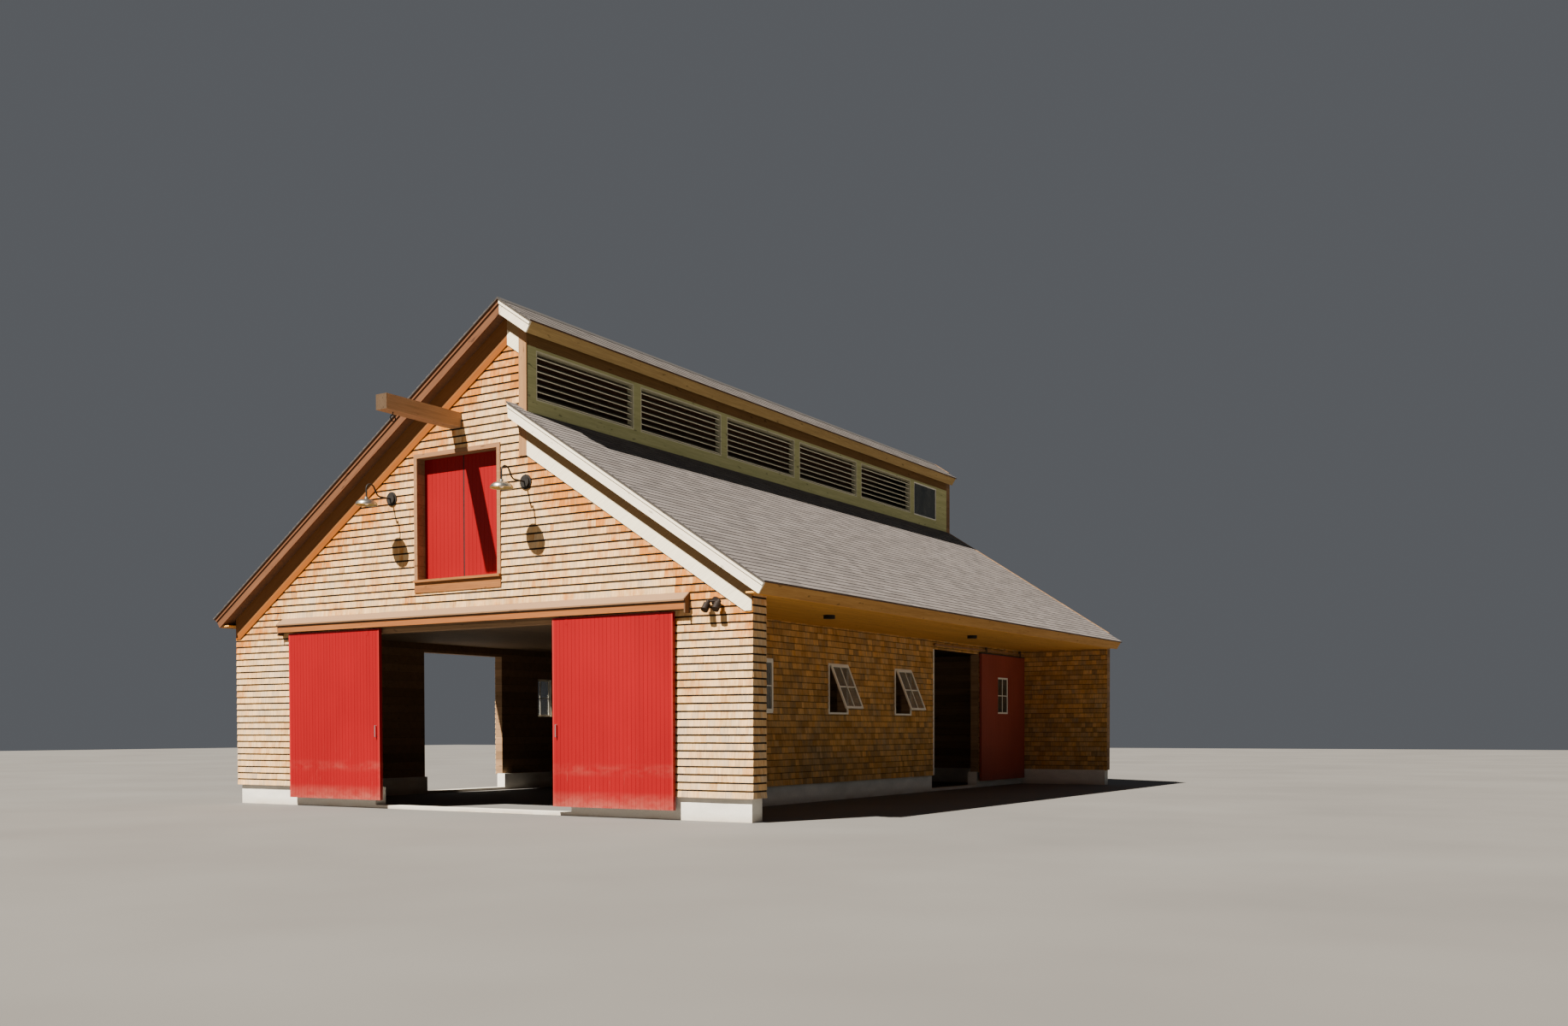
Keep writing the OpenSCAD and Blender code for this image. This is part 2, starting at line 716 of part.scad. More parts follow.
// Fascia boards close the square cut eaves
module eave_boards()
    color(colour_trim) place() {
        back = roofing_lap * main_cos;
        deep = (roofing_lap + fascia_t) * main_cos - slope_gap;
        along_y(rake_back, barn_len) {
            difference() {
                main_band(eave_x, roofing_t + slope_gap, roof_t, ridge_x, back);
                main_band(eave_x, 0, roof_t + clear, ridge_x + clear, deep);
            }
            difference() {
                upper_band(roofing_t + slope_gap, roof_t, back);
                upper_band(0, roof_t + clear, deep, ridge_x - clear);
            }
            difference() {
                shed_band(clerestory_x, roofing_t + slope_gap, roof_t, roofing_lap * shed_cos);
                shed_band(clerestory_x - clear, 0, roof_t + clear, (roofing_lap + fascia_t) * shed_cos - slope_gap);
            }
        }
    }

// The left soffit ends where its top meets the roof's underside
module left_soffit()
    color([0.72, 0.5, 0.24]) place()
        box((soffit_z + ceiling_t - eave_z + main_drop) / main_pitch - eave_x, -half_w,
            rake_back, barn_len, soffit_z, soffit_z + ceiling_t);

module porch_ceiling()
    color([0.72, 0.5, 0.24]) place() {
        x_end = eave_x - (soffit_z + ceiling_t - eave_z + shed_drop) / shed_pitch;
        box(side_x, x_end, wall_t, barn_len, soffit_z, soffit_z + ceiling_t);
        box(half_w, x_end, rake_back, wall_t, soffit_z, soffit_z + ceiling_t);
    }

module hoist_beam()
    color([0.5, 0.33, 0.2]) place() at_loft()
        box(-beam_w / 2, beam_w / 2, -beam_out, wall_t + beam_in, beam_z, beam_z + beam_h);

module hoist_hook()
    color([0.25, 0.22, 0.2]) place() at_loft() translate([0, hook_in - beam_out, beam_z]) {
        translate([0, 0, -shank_l]) cylinder(r = ring_bar, h = shank_l);
        translate([0, 0, -shank_l - ring_r]) rotate([0, 90, 0])
            rotate_extrude() translate([ring_r, 0]) circle(r = ring_bar);
    }

module loft_casing()
    color([0.55, 0.36, 0.22]) place() at_loft() {
        difference() {
            box(-loft_half - loft_casing_w, loft_half + loft_casing_w, -loft_casing_t, 0,
                loft_z, loft_z + loft_h + loft_casing_w);
            box(-loft_half, loft_half, -loft_casing_t - clear, clear, loft_z - clear, loft_z + loft_h);
        }
        box(-loft_half - loft_casing_w, loft_half + loft_casing_w, -loft_sill_d, 0,
            loft_z - loft_sill_t, loft_z);
        box(-loft_half - loft_casing_w, loft_half + loft_casing_w, -loft_casing_t, 0,
            loft_z - loft_sill_t - apron_h, loft_z - loft_sill_t);
    }

module loft_leaf(x0, x1) box(x0, x1, wall_t - loft_leaf_t, wall_t, loft_z, loft_z + loft_h);

module loft_door_left() color(colour_red) place() at_loft() loft_leaf(-loft_half, 0);

module loft_door_right() color(colour_red) place() at_loft() loft_leaf(0, loft_half);

// The hood over the leaves: a sloped board, a fascia under its lip and a panel at each end
module door_hood()
    color([0.62, 0.42, 0.26]) place() at_doors()
        along_x(-hood_half + hood_t, hood_half - hood_t) polygon([
            [-hood_d - hood_lip, hood_top_z - hood_t],
            [-hood_d + hood_t, hood_top_z - hood_t],
            [0, hood_top_z - hood_t + hood_rise],
            [0, hood_top_z + hood_rise],
            [-hood_d - hood_lip, hood_top_z]
        ]);

module hood_fascia()
    color([0.55, 0.36, 0.2]) place() at_doors()
        box(-hood_half + hood_t, hood_half - hood_t, -hood_d, -hood_d + hood_t, hood_z, hood_top_z - hood_t);

module hood_ends()
    color([0.36, 0.25, 0.16]) place() at_doors()
        for (x = [-hood_half, hood_half - hood_t])
            along_x(x, x + hood_t) polygon([
                [-hood_d, hood_z - hood_drop],
                [0, hood_z - hood_drop],
                [0, hood_top_z + hood_rise],
                [-hood_d - hood_lip, hood_top_z],
                [-hood_d - hood_lip, hood_top_z - hood_t],
                [-hood_d, hood_top_z - hood_t]
            ]);

// A flat rail on brackets; it runs along X from x0 to x1 with its middle at y
module track(x0, x1, y, z, reach) {
    box(x0, x1, y - rail_t / 2, y + rail_t / 2, z, z + rail_h);
    step = (x1 - x0 - strap_w) / (brackets - 1);
    for (i = [0:brackets - 1])
        box(x0 + i * step, x0 + i * step + strap_w, y + rail_t / 2, reach, z, z + rail_h / 2);
}

module front_track()
    color(colour_metal) place() at_doors()
        track(-hood_half + hood_t, hood_half - hood_t, leaf_mid, rail_z, 0);

// A hanger: a strap bolted to the leaf's face, an axle and a wheel that rolls on the rail
module hanger(x, y_face, y_mid, z_leaf, z_rail) {
    z_axle = z_rail + rail_h + wheel_z;
    box(x - strap_w / 2, x + strap_w / 2, y_face - strap_t, y_face, z_leaf - strap_w * 2, z_axle + wheel_r);
    translate([x, y_face, z_axle]) rotate([-90, 0, 0]) cylinder(r = wheel_r / 3, h = y_mid - y_face);
    translate([x, y_mid - rail_t / 2, z_axle]) rotate([-90, 0, 0]) cylinder(r = wheel_r, h = rail_t);
}

module front_leaf(x0) {
    box(x0, x0 + leaf_w, leaf_front, leaf_back, leaf_z, leaf_top);
    for (x = [x0 + hanger_in, x0 + leaf_w - hanger_in])
        hanger(x, leaf_front, leaf_mid, leaf_top, rail_z);
}

module front_door_left() color(colour_red) place() at_doors() front_leaf(-leaf_open - leaf_w);

module front_door_right() color(colour_red) place() at_doors() front_leaf(leaf_open);

// A bent bar whose two feet stand on the leaf's face
module pull(x, y) {
    z0 = pull_z - pull_l / 2;
    translate([x, y - pull_d, z0]) cylinder(r = pull_r, h = pull_l);
    for (z = [z0 + pull_r, z0 + pull_l - pull_r])
        translate([x, y, z]) rotate([90, 0, 0]) cylinder(r = pull_r, h = pull_d);
}

module front_pull_left() color(colour_metal) place() at_doors() pull(-leaf_open - pull_in, leaf_front);

module front_pull_right() color(colour_metal) place() at_doors() pull(leaf_open + pull_in, leaf_front);

// Turns what is drawn for the front wall to the porch wall's plane: X becomes Y, and out becomes +X
module on_side() translate([side_x, 0, 0]) rotate([0, 0, 90]) children();

module side_track()
    color(colour_metal) place() on_side()
        track(side_way_y - strap_w, barn_len - strap_w, leaf_mid, side_rail_z, 0);

module side_door()
    color([0.5, 0.09, 0.08]) place() on_side() {
        difference() {
            box(side_leaf_y, side_leaf_y + side_leaf_w, leaf_front, leaf_back, leaf_z, side_leaf_top);
            box(side_leaf_y + side_pane_in, side_leaf_y + side_pane_in + side_pane_w,
                leaf_front - clear, leaf_back + clear, side_pane_z, side_pane_z + side_pane_h);
        }
        for (x = [side_leaf_y + hanger_in, side_leaf_y + side_leaf_w - hanger_in])
            hanger(x, leaf_front, leaf_mid, side_leaf_top, side_rail_z);
    }

module sash(w, h) {
    difference() {
        cube([w, sash_t, h]);
        translate([sash_rail, -clear, sash_rail])
            cube([w - 2 * sash_rail, sash_t + 2 * clear, h - 2 * sash_rail]);
    }
}

module sash_pane(w, h)
    translate([sash_rail, (sash_t - glass_t) / 2, sash_rail])
        cube([w - 2 * sash_rail, glass_t, h - 2 * sash_rail]);

module side_door_window()
    color(colour_cream) place() on_side()
        translate([side_leaf_y + side_pane_in, leaf_mid - sash_t / 2, side_pane_z]) {
            sash(side_pane_w, side_pane_h);
            sash_pane(side_pane_w, side_pane_h);
        }

// A window's casing lies on the wall round its opening
module window_frame()
    difference() {
        translate([-window_w / 2 - casing_w, -casing_t, -casing_w])
            cube([window_w + 2 * casing_w, casing_t, window_h + 2 * casing_w]);
        translate([-window_w / 2, -casing_t - clear, 0]) cube([window_w, casing_t + 2 * clear, window_h]);
    }

// A sash hangs from the top of its opening and stands open at the bottom, apart from the shut one
module open_sash()
    translate([-window_w / 2 + sash_gap, -casing_t, window_h])
        rotate([$window == shut_window ? 0 : -sash_angle, 0, 0])
            translate([0, -sash_t, -window_h]) children();

module at_windows() {
    for (i = [0:windows - 1]) {
        $window = i;
        on_side() translate([side_window(i), 0, window_z]) children();
        translate([-half_w, left_window(i), window_z]) rotate([0, 0, -90]) children();
    }
}

module window_frames() color(colour_cream) place() at_windows() window_frame();

module window_sashes()
    color(colour_cream) place() at_windows() open_sash() sash(window_w - 2 * sash_gap, window_h);

module window_glass()
    color([0.6, 0.7, 0.72]) place() at_windows() open_sash() sash_pane(window_w - 2 * sash_gap, window_h);

// A bend of round bar in the Y and Z plane about the origin, from angle a through sweep
module bar_bend(r, a, sweep)
    rotate([90, 0, 90]) rotate([0, 0, a]) rotate_extrude(angle = sweep) translate([r, 0]) circle(r = lamp_arm_r);

// A gooseneck: a plate on the wall, an arm that rises and arches over, and a stem down to the shade
module gooseneck(x) translate([x, 0, lamp_z]) {
    run = (lamp_rise + lamp_arch * cos(lamp_angle) - lamp_bend * (1 - cos(lamp_angle))) / sin(lamp_angle);
    y_top = lamp_reach - lamp_arch;
    y_bend = y_top - (lamp_arch + lamp_bend) * sin(lamp_angle) - run * cos(lamp_angle);
    rotate([90, 0, 0]) cylinder(r = lamp_plate_r, h = lamp_plate_d / 2);
    rotate([90, 0, 0]) cylinder(r = lamp_plate_r * 0.75, h = lamp_plate_d);
    rotate([90, 0, 0]) cylinder(r = lamp_arm_r + lamp_sleeve, h = y_bend + lamp_lap);
    translate([0, -y_bend, lamp_bend]) bar_bend(lamp_bend, 270 - lamp_angle, lamp_angle);
    translate([0, -y_bend - lamp_bend * sin(lamp_angle), lamp_bend * (1 - cos(lamp_angle))])
        rotate([90 - lamp_angle, 0, 0]) translate([0, 0, -lamp_lap])
            cylinder(r = lamp_arm_r + lamp_sleeve, h = run + 2 * lamp_lap);
    translate([0, -y_top, lamp_rise]) bar_bend(lamp_arch, 90 - lamp_angle, 90 + lamp_angle);
    translate([0, -lamp_reach, -shade_down])
        cylinder(r = lamp_arm_r + lamp_sleeve, h = lamp_rise + shade_down + lamp_lap);
}

module lamp_arms()
    color([0.2, 0.2, 0.2]) place() at_loft() for (x = [-lamp_x, lamp_x]) gooseneck(x);

module shade_shell()
    rotate_extrude() difference() {
        polygon([
            [0, 0], [neck_r, 0], [neck_r, -neck_h], [shoulder_r, shoulder_h - shade_h], [shade_r, -shade_h],
            [0, -shade_h]
        ]);
        polygon([
            [-clear, -shade_t], [neck_r - shade_t, -shade_t], [neck_r - shade_t, -neck_h - shade_t],
            [shoulder_r - shade_t, shoulder_h - shade_h - shade_t], [shade_r - shade_t, -shade_h - clear],
            [-clear, -shade_h - clear]
        ]);
    }

module lamp_shades()
    color(colour_metal) place() at_loft() for (x = [-lamp_x, lamp_x])
        translate([x, -lamp_reach, lamp_z - shade_down]) shade_shell();

// Two heads on one bar in front of a round plate
module floodlight()
    color([0.35, 0.3, 0.26]) place() translate([flood_x, 0, flood_z]) {
        rotate([90, 0, 0]) cylinder(r = flood_plate_r, h = flood_plate_t);
        rotate([90, 0, 0]) cylinder(r = flood_bar_r, h = flood_out);
        translate([-flood_span / 2, -flood_out, 0]) rotate([0, 90, 0]) cylinder(r = flood_bar_r, h = flood_span);
        for (x = [-flood_span / 2, flood_span / 2])
            translate([x, -flood_out, 0]) rotate([90 + flood_angle, 0, 0]) {
                cylinder(r = flood_r * 0.6, h = flood_l / 2);
                translate([0, 0, flood_l / 3]) cylinder(r = flood_r, h = flood_l * 2 / 3);
            }
    }

module porch_lights()
    color([0.2, 0.17, 0.15]) place() for (i = [0, 1])
        translate([side_x + porch_light_x, porch_light_y + i * porch_light_bay, soffit_z - porch_light_d])
            cylinder(r = porch_light_r, h = porch_light_d);

foundation();
front_wall_left();
front_wall_right();
front_gable_wall();
left_wall_front();
left_wall_header();
left_wall_rear();
side_wall_front();
side_wall_header();
side_wall_rear();
rear_party_wall();
loft_floor();
clerestory_frame();
clerestory_louvres();
clerestory_window();
corner_board();
left_roof();
upper_right_roof();
lower_right_roof();
ridge_cap();
upper_rake();
lower_rake();
frieze_boards();
eave_boards();
left_soffit();
porch_ceiling();
hoist_beam();
hoist_hook();
loft_casing();
loft_door_left();
loft_door_right();
door_hood();
hood_fascia();
hood_ends();
front_track();
front_door_left();
front_door_right();
front_pull_left();
front_pull_right();
side_track();
side_door();
side_door_window();
window_frames();
window_sashes();
window_glass();
lamp_arms();
lamp_shades();
floodlight();
porch_lights();
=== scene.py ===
"""Dresses the shingled barn: shingles, roofing, boards, trim, window bars, lamps, light and camera."""

import logging
import math
from dataclasses import dataclass
from enum import Enum

import bpy
import numpy as np
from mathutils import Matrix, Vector


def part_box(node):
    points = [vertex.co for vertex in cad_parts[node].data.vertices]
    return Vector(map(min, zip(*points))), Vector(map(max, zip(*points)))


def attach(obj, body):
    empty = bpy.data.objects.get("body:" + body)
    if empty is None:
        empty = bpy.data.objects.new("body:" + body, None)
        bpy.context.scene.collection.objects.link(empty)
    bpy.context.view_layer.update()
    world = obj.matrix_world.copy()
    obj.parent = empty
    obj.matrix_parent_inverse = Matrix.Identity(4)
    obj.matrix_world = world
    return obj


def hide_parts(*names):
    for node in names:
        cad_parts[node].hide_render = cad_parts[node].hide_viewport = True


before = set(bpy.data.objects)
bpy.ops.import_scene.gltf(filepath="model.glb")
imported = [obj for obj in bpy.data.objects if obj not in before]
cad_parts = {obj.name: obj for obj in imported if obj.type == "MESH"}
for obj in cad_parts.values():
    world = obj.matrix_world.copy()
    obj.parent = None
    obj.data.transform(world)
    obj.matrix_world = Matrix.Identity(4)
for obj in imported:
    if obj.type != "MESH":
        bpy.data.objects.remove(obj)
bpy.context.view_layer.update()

log = logging.getLogger("barn")

Colour = tuple[float, float, float]
Way = tuple[float, float, float]
Span = tuple[float, float]
Rect = tuple[float, float, float, float]
Socket = bpy.types.NodeSocket
Material = bpy.types.Material
Source = Socket | float | tuple[float, ...]

RIGHT, BACK, UP = (1.0, 0.0, 0.0), (0.0, 1.0, 0.0), (0.0, 0.0, 1.0)
LEFT, FRONT = (-1.0, 0.0, 0.0), (0.0, -1.0, 0.0)
BARN = "barn"
EAVE_Z = 3.8
DRY_WOOD_GLOSS = 0.12
HANGER_GAP = 0.02
SHIFT_REACH = 91.0

# The range in which most of a noise lies
MIDDLE = (0.3, 0.7)
# Octaves and roughness of a fine noise
FINE = (5.0, 0.65)
# Octaves and roughness of a soft noise
SOFT = (3.0, 0.55)


class Grain(Enum):
    """The way the grain runs on a board."""

    ACROSS = "across"
    DEEP = "deep"
    UPRIGHT = "upright"
    MAIN_SLOPE = "main_slope"
    SHORT_SLOPE = "short_slope"
    LOW_SLOPE = "low_slope"


# Angle of each grain about the Y axis, measured from X towards Z, in degrees
GRAIN_ANGLE = {Grain.ACROSS: 0.0, Grain.DEEP: 0.0, Grain.UPRIGHT: 90.0, Grain.MAIN_SLOPE: 33.69,
               Grain.SHORT_SLOPE: -33.69, Grain.LOW_SLOPE: -32.855}


@dataclass(frozen=True)
class Face:
    """A flat side: a point lies at origin + along * u + up * v + out * depth, where out = along x up."""

    origin: Way
    along: Way
    up: Way

    def place(self, u: np.ndarray, v: np.ndarray, depth: np.ndarray) -> np.ndarray:
        """Turns places on the face into points.

        Args:
            u: distances along the face.
            v: distances up the face.
            depth: distances out of the face.

        Returns:
            An array with one more axis, of length 3.
        """
        along, up = np.array(self.along), np.array(self.up)
        u, v, depth = (part[..., None] for part in np.broadcast_arrays(u, v, depth))
        return np.array(self.origin) + u * along + v * up + depth * np.cross(along, up)


def wall_face(place: float, out: Way) -> Face:
    """An upright face at a place on the axis it looks along; u runs along Z x out, and v is the height."""
    return Face(tuple(place * abs(c) for c in out), tuple(float(c) for c in np.cross(UP, out)), UP)


def about(middle: float, half: float) -> Span:
    """The span that reaches as far as half to each side of a middle."""
    return middle - half, middle + half


# Faces of a box whose corners run as in box_corners, counterclockwise seen from outside
BOX_FACES = np.array([[3, 2, 1, 0], [4, 5, 6, 7], [0, 1, 5, 4], [1, 2, 6, 5], [2, 3, 7, 6], [3, 0, 4, 7]])


def box_corners(x: Span, y: Span, z: Span) -> np.ndarray:
    """The eight corners of an upright box: round its foot counterclockwise from above, then round its top."""
    ring = [(x[0], y[0]), (x[1], y[0]), (x[1], y[1]), (x[0], y[1])]
    return np.array([(*corner, height) for height in z for corner in ring])


@dataclass(frozen=True)
class Piece:
    """A mesh piece: its name, its finish, the record's material slot and the body that carries it."""

    name: str
    material: Material
    slot: str
    body: str = BARN

    def make(self, points: np.ndarray, faces: list, marks: np.ndarray | None = None) -> bpy.types.Object:
        """Makes the piece, which then rides on its body.

        Args:
            points: an array of points, three numbers each.
            faces: corner numbers of each face, counterclockwise seen from outside.
            marks: four numbers for each point (tone, hue, shift, height), read by the finishes.

        Returns:
            The new object.
        """
        mesh = bpy.data.meshes.new(self.name)
        mesh.from_pydata(points.reshape(-1, 3).tolist(), [], faces)
        if marks is not None:
            layer = mesh.attributes.new("board", "FLOAT_COLOR", "POINT")
            layer.data.foreach_set("color", marks.astype(np.float32).ravel())
        mesh.materials.append(self.material)
        mesh.update()
        piece = bpy.data.objects.new(self.name, mesh)
        bpy.context.collection.objects.link(piece)
        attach(piece, self.body)
        log.info("%s: %d faces", self.name, len(faces))
        return piece

    def boxes(self, *corners: np.ndarray) -> bpy.types.Object:
        """Makes the piece of boxes, each given by its eight corners as from box_corners."""
        points = np.array(corners)
        faces = np.arange(len(points))[:, None, None] * points.shape[1] + BOX_FACES
        return self.make(points, faces.reshape(-1, 4).tolist())

    def lathe(self, centres: list[Way], radius: np.ndarray, height: np.ndarray,
              around: int = 40) -> bpy.types.Object:
        """Makes the piece of a profile turned about an upright line through each centre.

        The point at angle a and profile step k lies at (radius k * cos a, radius k * sin a, height k). The
        profile runs so that the outside is on its right as it climbs, and starts and ends on the axis.

        Args:
            centres: where the lines stand.
            radius: the profile's radii.
            height: the profile's heights above each centre.
            around: steps round the axis.

        Returns:
            The new object.
        """
        angle = np.linspace(0.0, 2 * np.pi, around, endpoint=False)
        ring = np.stack([np.outer(radius, np.cos(angle)), np.outer(radius, np.sin(angle)),
                         np.repeat(height[:, None], around, axis=1)], axis=-1)
        steps = len(radius)
        rows, columns = np.meshgrid(np.arange(steps - 1), np.arange(around), indexing="ij")
        after = (columns + 1) % around
        quads = np.stack([rows * around + columns, rows * around + after, (rows + 1) * around + after,
                          (rows + 1) * around + columns], axis=-1).reshape(-1, 4)
        points = np.array(centres)[:, None, None] + ring[None]
        faces = np.concatenate([quads + n * steps * around for n in range(len(centres))])
        piece = self.make(points, faces.tolist())
        piece.data.polygons.foreach_set("use_smooth", np.ones(len(piece.data.polygons), bool))
        return piece


def dress(material: Material, *nodes: str) -> None:
    """Gives a finish to CAD nodes.

    Args:
        material: the finish.
        *nodes: the nodes' names.
    """
    for node in nodes:
        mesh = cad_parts[node].data
        mesh.materials.clear()
        mesh.materials.append(material)
        log.info("%s: %s", node, material.name)


class NodeSheet:
    """A material's node tree, with short ways to add nodes and to join them."""

    def __init__(self, name: str) -> None:
        """Starts a material.

        Args:
            name: the material's name.
        """
        self.material = bpy.data.materials.new(name)
        self.material.use_nodes = True
        self.tree = self.material.node_tree
        self.shader = self.tree.nodes["Principled BSDF"]
        self.place = self.node("ShaderNodeTexCoord").outputs["Object"]

    def node(self, kind: str, inputs: dict | None = None, **settings) -> bpy.types.Node:
        """Adds a node; an input that is a socket is joined, and any other is set.

        Args:
            kind: the node's type.
            inputs: input names or numbers with their values or source sockets.
            **settings: the node's own properties.

        Returns:
            The new node.
        """
        made = self.tree.nodes.new(kind)
        for key, value in settings.items():
            setattr(made, key, value)
        for key, value in (inputs or {}).items():
            self.join(value, made.inputs[key])
        return made

    def join(self, value: Source, socket: Socket) -> None:
        """Joins a source to an input, or sets the input's value.

        Args:
            value: a socket, a number, a vector or a colour of three numbers.
            socket: the input.
        """
        if isinstance(value, Socket):
            self.tree.links.new(value, socket)
        elif socket.type == "RGBA":
            socket.default_value = (*value, 1.0)
        else:
            socket.default_value = value

    def math(self, operation: str, first: Source, *others: Source) -> Socket:
        """The first value joined with each of the others in turn by a Math node, or one node on it alone."""
        for value in others or (0.0,):
            first = self.node("ShaderNodeMath", {0: first, 1: value}, operation=operation).outputs[0]
        return first

    def span(self, value: Source, low: float, high: float, to_low: float = 0.0,
             to_high: float = 1.0) -> Socket:
        """A value carried from the span low..high to to_low..to_high, held at the ends."""
        return self.node("ShaderNodeMapRange", {0: value, 1: low, 2: high, 3: to_low, 4: to_high}).outputs[0]

    def product(self, *spans: tuple) -> Socket:
        """The product of spans, each given as the arguments of span."""
        return self.math("MULTIPLY", *(self.span(*values) for values in spans))

    def noise(self, scale: Way, detail: float = 4.0, rough: float = 0.6, turn: float = 0.0,
              shift: Socket | None = None, warp: float = 0.0) -> Socket:
        """Noise on Object coordinates, stretched by a scale for each axis.

        Args:
            scale: how fine it is along X, Y and Z, after the turn.
            detail: octaves.
            rough: weight of the fine octaves.
            turn: angle about Y in degrees that lays X along the grain.
            shift: a socket that shifts the noise for each board.
            warp: distortion of the noise.

        Returns:
            The noise's value.
        """
        turned = {"Vector": self.place, "Rotation": (0.0, math.radians(turn), 0.0)}
        source = self.node("ShaderNodeMapping", turned).outputs[0]
        source = self.node("ShaderNodeVectorMath", {0: source, 1: scale}, operation="MULTIPLY").outputs[0]
        if shift is not None:
            far = self.math("MULTIPLY", shift, SHIFT_REACH)
            moved = self.node("ShaderNodeCombineXYZ", {0: far, 1: far, 2: far})
            source = self.node("ShaderNodeVectorMath", {0: source, 1: moved.outputs[0]}).outputs[0]
        return self.node("ShaderNodeTexNoise", {"Vector": source, "Scale": 1.0, "Detail": detail,
                                                "Roughness": rough, "Distortion": warp}).outputs[0]

    def wood(self, grain: Grain, along: float = 2.2, across: float = 60.0, detail: float = 5.0,
             rough: float = 0.65, warp: float = 0.0) -> Socket:
        """Noise drawn out along a grain.

        Args:
            grain: the way it runs.
            along: how fine it is along the grain.
            across: how fine it is across it.
            detail: octaves.
            rough: weight of the fine octaves.
            warp: distortion of the noise.

        Returns:
            The noise's value.
        """
        scale = (across, along, across) if grain is Grain.DEEP else (along, across, across)
        return self.noise(scale, detail, rough, GRAIN_ANGLE[grain], warp=warp)

    def ramp(self, value: Source, stops: list[tuple[float, Colour]]) -> Socket:
        """A colour ramp.

        Args:
            value: where on the ramp.
            stops: (place, colour) pairs.

        Returns:
            The colour.
        """
        made = self.node("ShaderNodeValToRGB", {0: value})
        elements = made.color_ramp.elements
        while len(elements) < len(stops):
            elements.new(0.5)
        for element, (place, colour) in zip(elements, stops):
            element.position = place
            element.color = (*colour, 1.0)
        return made.outputs[0]

    def mix(self, amount: Source, first: Source, second: Source, blend: str = "MIX") -> Socket:
        """A mix of two colours."""
        inputs = {0: amount, 6: first, 7: second}
        return self.node("ShaderNodeMix", inputs, data_type="RGBA", blend_type=blend).outputs[2]

    def shade(self, colour: Source, value: Source) -> Socket:
        """A colour times a grey value."""
        grey = self.node("ShaderNodeCombineColor", {0: value, 1: value, 2: value}).outputs[0]
        return self.mix(1.0, colour, grey, "MULTIPLY")

    def marks(self) -> tuple[Socket, Socket, Socket, Socket]:
        """The tone, hue, shift and height that a piece's points carry."""
        source = self.node("ShaderNodeAttribute", attribute_name="board")
        parts = self.node("ShaderNodeSeparateColor", {0: source.outputs["Color"]})
        return *parts.outputs[:3], source.outputs["Alpha"]

    def axis(self, number: int) -> Socket:
        """The X, Y or Z of the Object coordinates."""
        return self.node("ShaderNodeSeparateXYZ", {0: self.place}).outputs[number]

    def facing(self, number: int) -> Socket:
        """The X, Y or Z of the way a surface looks."""
        normal = self.node("ShaderNodeNewGeometry").outputs["Normal"]
        return self.node("ShaderNodeSeparateXYZ", {0: normal}).outputs[number]

    def bump(self, height: Source, distance: float) -> None:
        """Turns a height in 0..1 into relief of a depth in metres."""
        made = self.node("ShaderNodeBump", {"Height": height, "Distance": distance, "Strength": 1.0})
        self.tree.links.new(made.outputs[0], self.shader.inputs["Normal"])

    def finish(self, colour: Source, rough: Source, metallic: float = 0.0, gloss: float = 0.5) -> Material:
        """Joins the last sockets to the shader.

        Args:
            colour: the surface's colour.
            rough: its roughness.
            metallic: how far it is a metal.
            gloss: its specular level.

        Returns:
            The material.
        """
        self.join(colour, self.shader.inputs["Base Color"])
        self.join(rough, self.shader.inputs["Roughness"])
        self.shader.inputs["Metallic"].default_value = metallic
        self.shader.inputs["Specular IOR Level"].default_value = gloss
        return self.material


@dataclass(frozen=True)
class CedarShingles:
    """Split cedar: a colour for each shingle, upright grain, and weather that greys it from below."""

    name: str
    grey: Colour
    tan: Colour
    orange: Colour
    warm_from: float = 1.0
    warm_to: float = 6.0
    # Painted shadow: how dark the band under the next course's butt is painted, where on the shingle it
    # starts and how soft its edge is
    painted_butt_shadow: float = 0.03
    shadow_band_start: float = 0.69
    shadow_band_soft: float = 0.04
    tone_low: float = 0.82
    tone_high: float = 1.07
    climb: Span = (-0.1, 0.06)
    drift: Span = (-0.2, 0.2)
    patch_scale: Way = (1.1, 1.1, 1.6)
    drift_scale: Way = (9.0, 9.0, 3.2)
    grain_scale: Way = (95.0, 95.0, 5.0)
    streak_scale: Way = (24.0, 24.0, 2.2)
    grain_shade: Span = (0.74, 1.06)
    streak_shade: Span = (0.7, 1.06)
    relief: float = 0.0012
    rough: float = 0.85

    def build(self) -> Material:
        """Mixes grey, tan and orange by the shingle's hue and height, then darkens by grain and tone, and
        paints a shadow band at the top of each course, under the next course's butt.

        Returns:
            The material.
        """
        sheet = NodeSheet(self.name)
        tone, hue, shift, height = sheet.marks()
        climb = sheet.span(sheet.axis(2), self.warm_from, self.warm_to, *self.climb)
        patch = sheet.span(sheet.noise(self.patch_scale), *MIDDLE, *self.drift)
        drift = sheet.span(sheet.noise(self.drift_scale, shift=shift), *MIDDLE, *self.drift)
        warm = sheet.math("ADD", hue, climb, patch, drift)
        colour = sheet.ramp(warm, [(0.1, self.grey), (0.48, self.tan), (0.98, self.orange)])
        grain = sheet.noise(self.grain_scale, *FINE, shift=shift)
        streak = sheet.noise(self.streak_scale, rough=0.65, shift=shift)
        light = sheet.product((grain, 0.3, 0.72, *self.grain_shade), (streak, 0.32, 0.7, *self.streak_shade),
                              (tone, 0.0, 1.0, self.tone_low, self.tone_high),
                              # the next span paints the shadow band under the next course's butt
                              (height, self.shadow_band_start, self.shadow_band_start + self.shadow_band_soft, 1.0,
                               self.painted_butt_shadow), (height, 0.0, 0.06, 0.8, 1.0))
        sheet.bump(grain, self.relief)
        return sheet.finish(sheet.shade(colour, light), self.rough, gloss=DRY_WOOD_GLOSS)


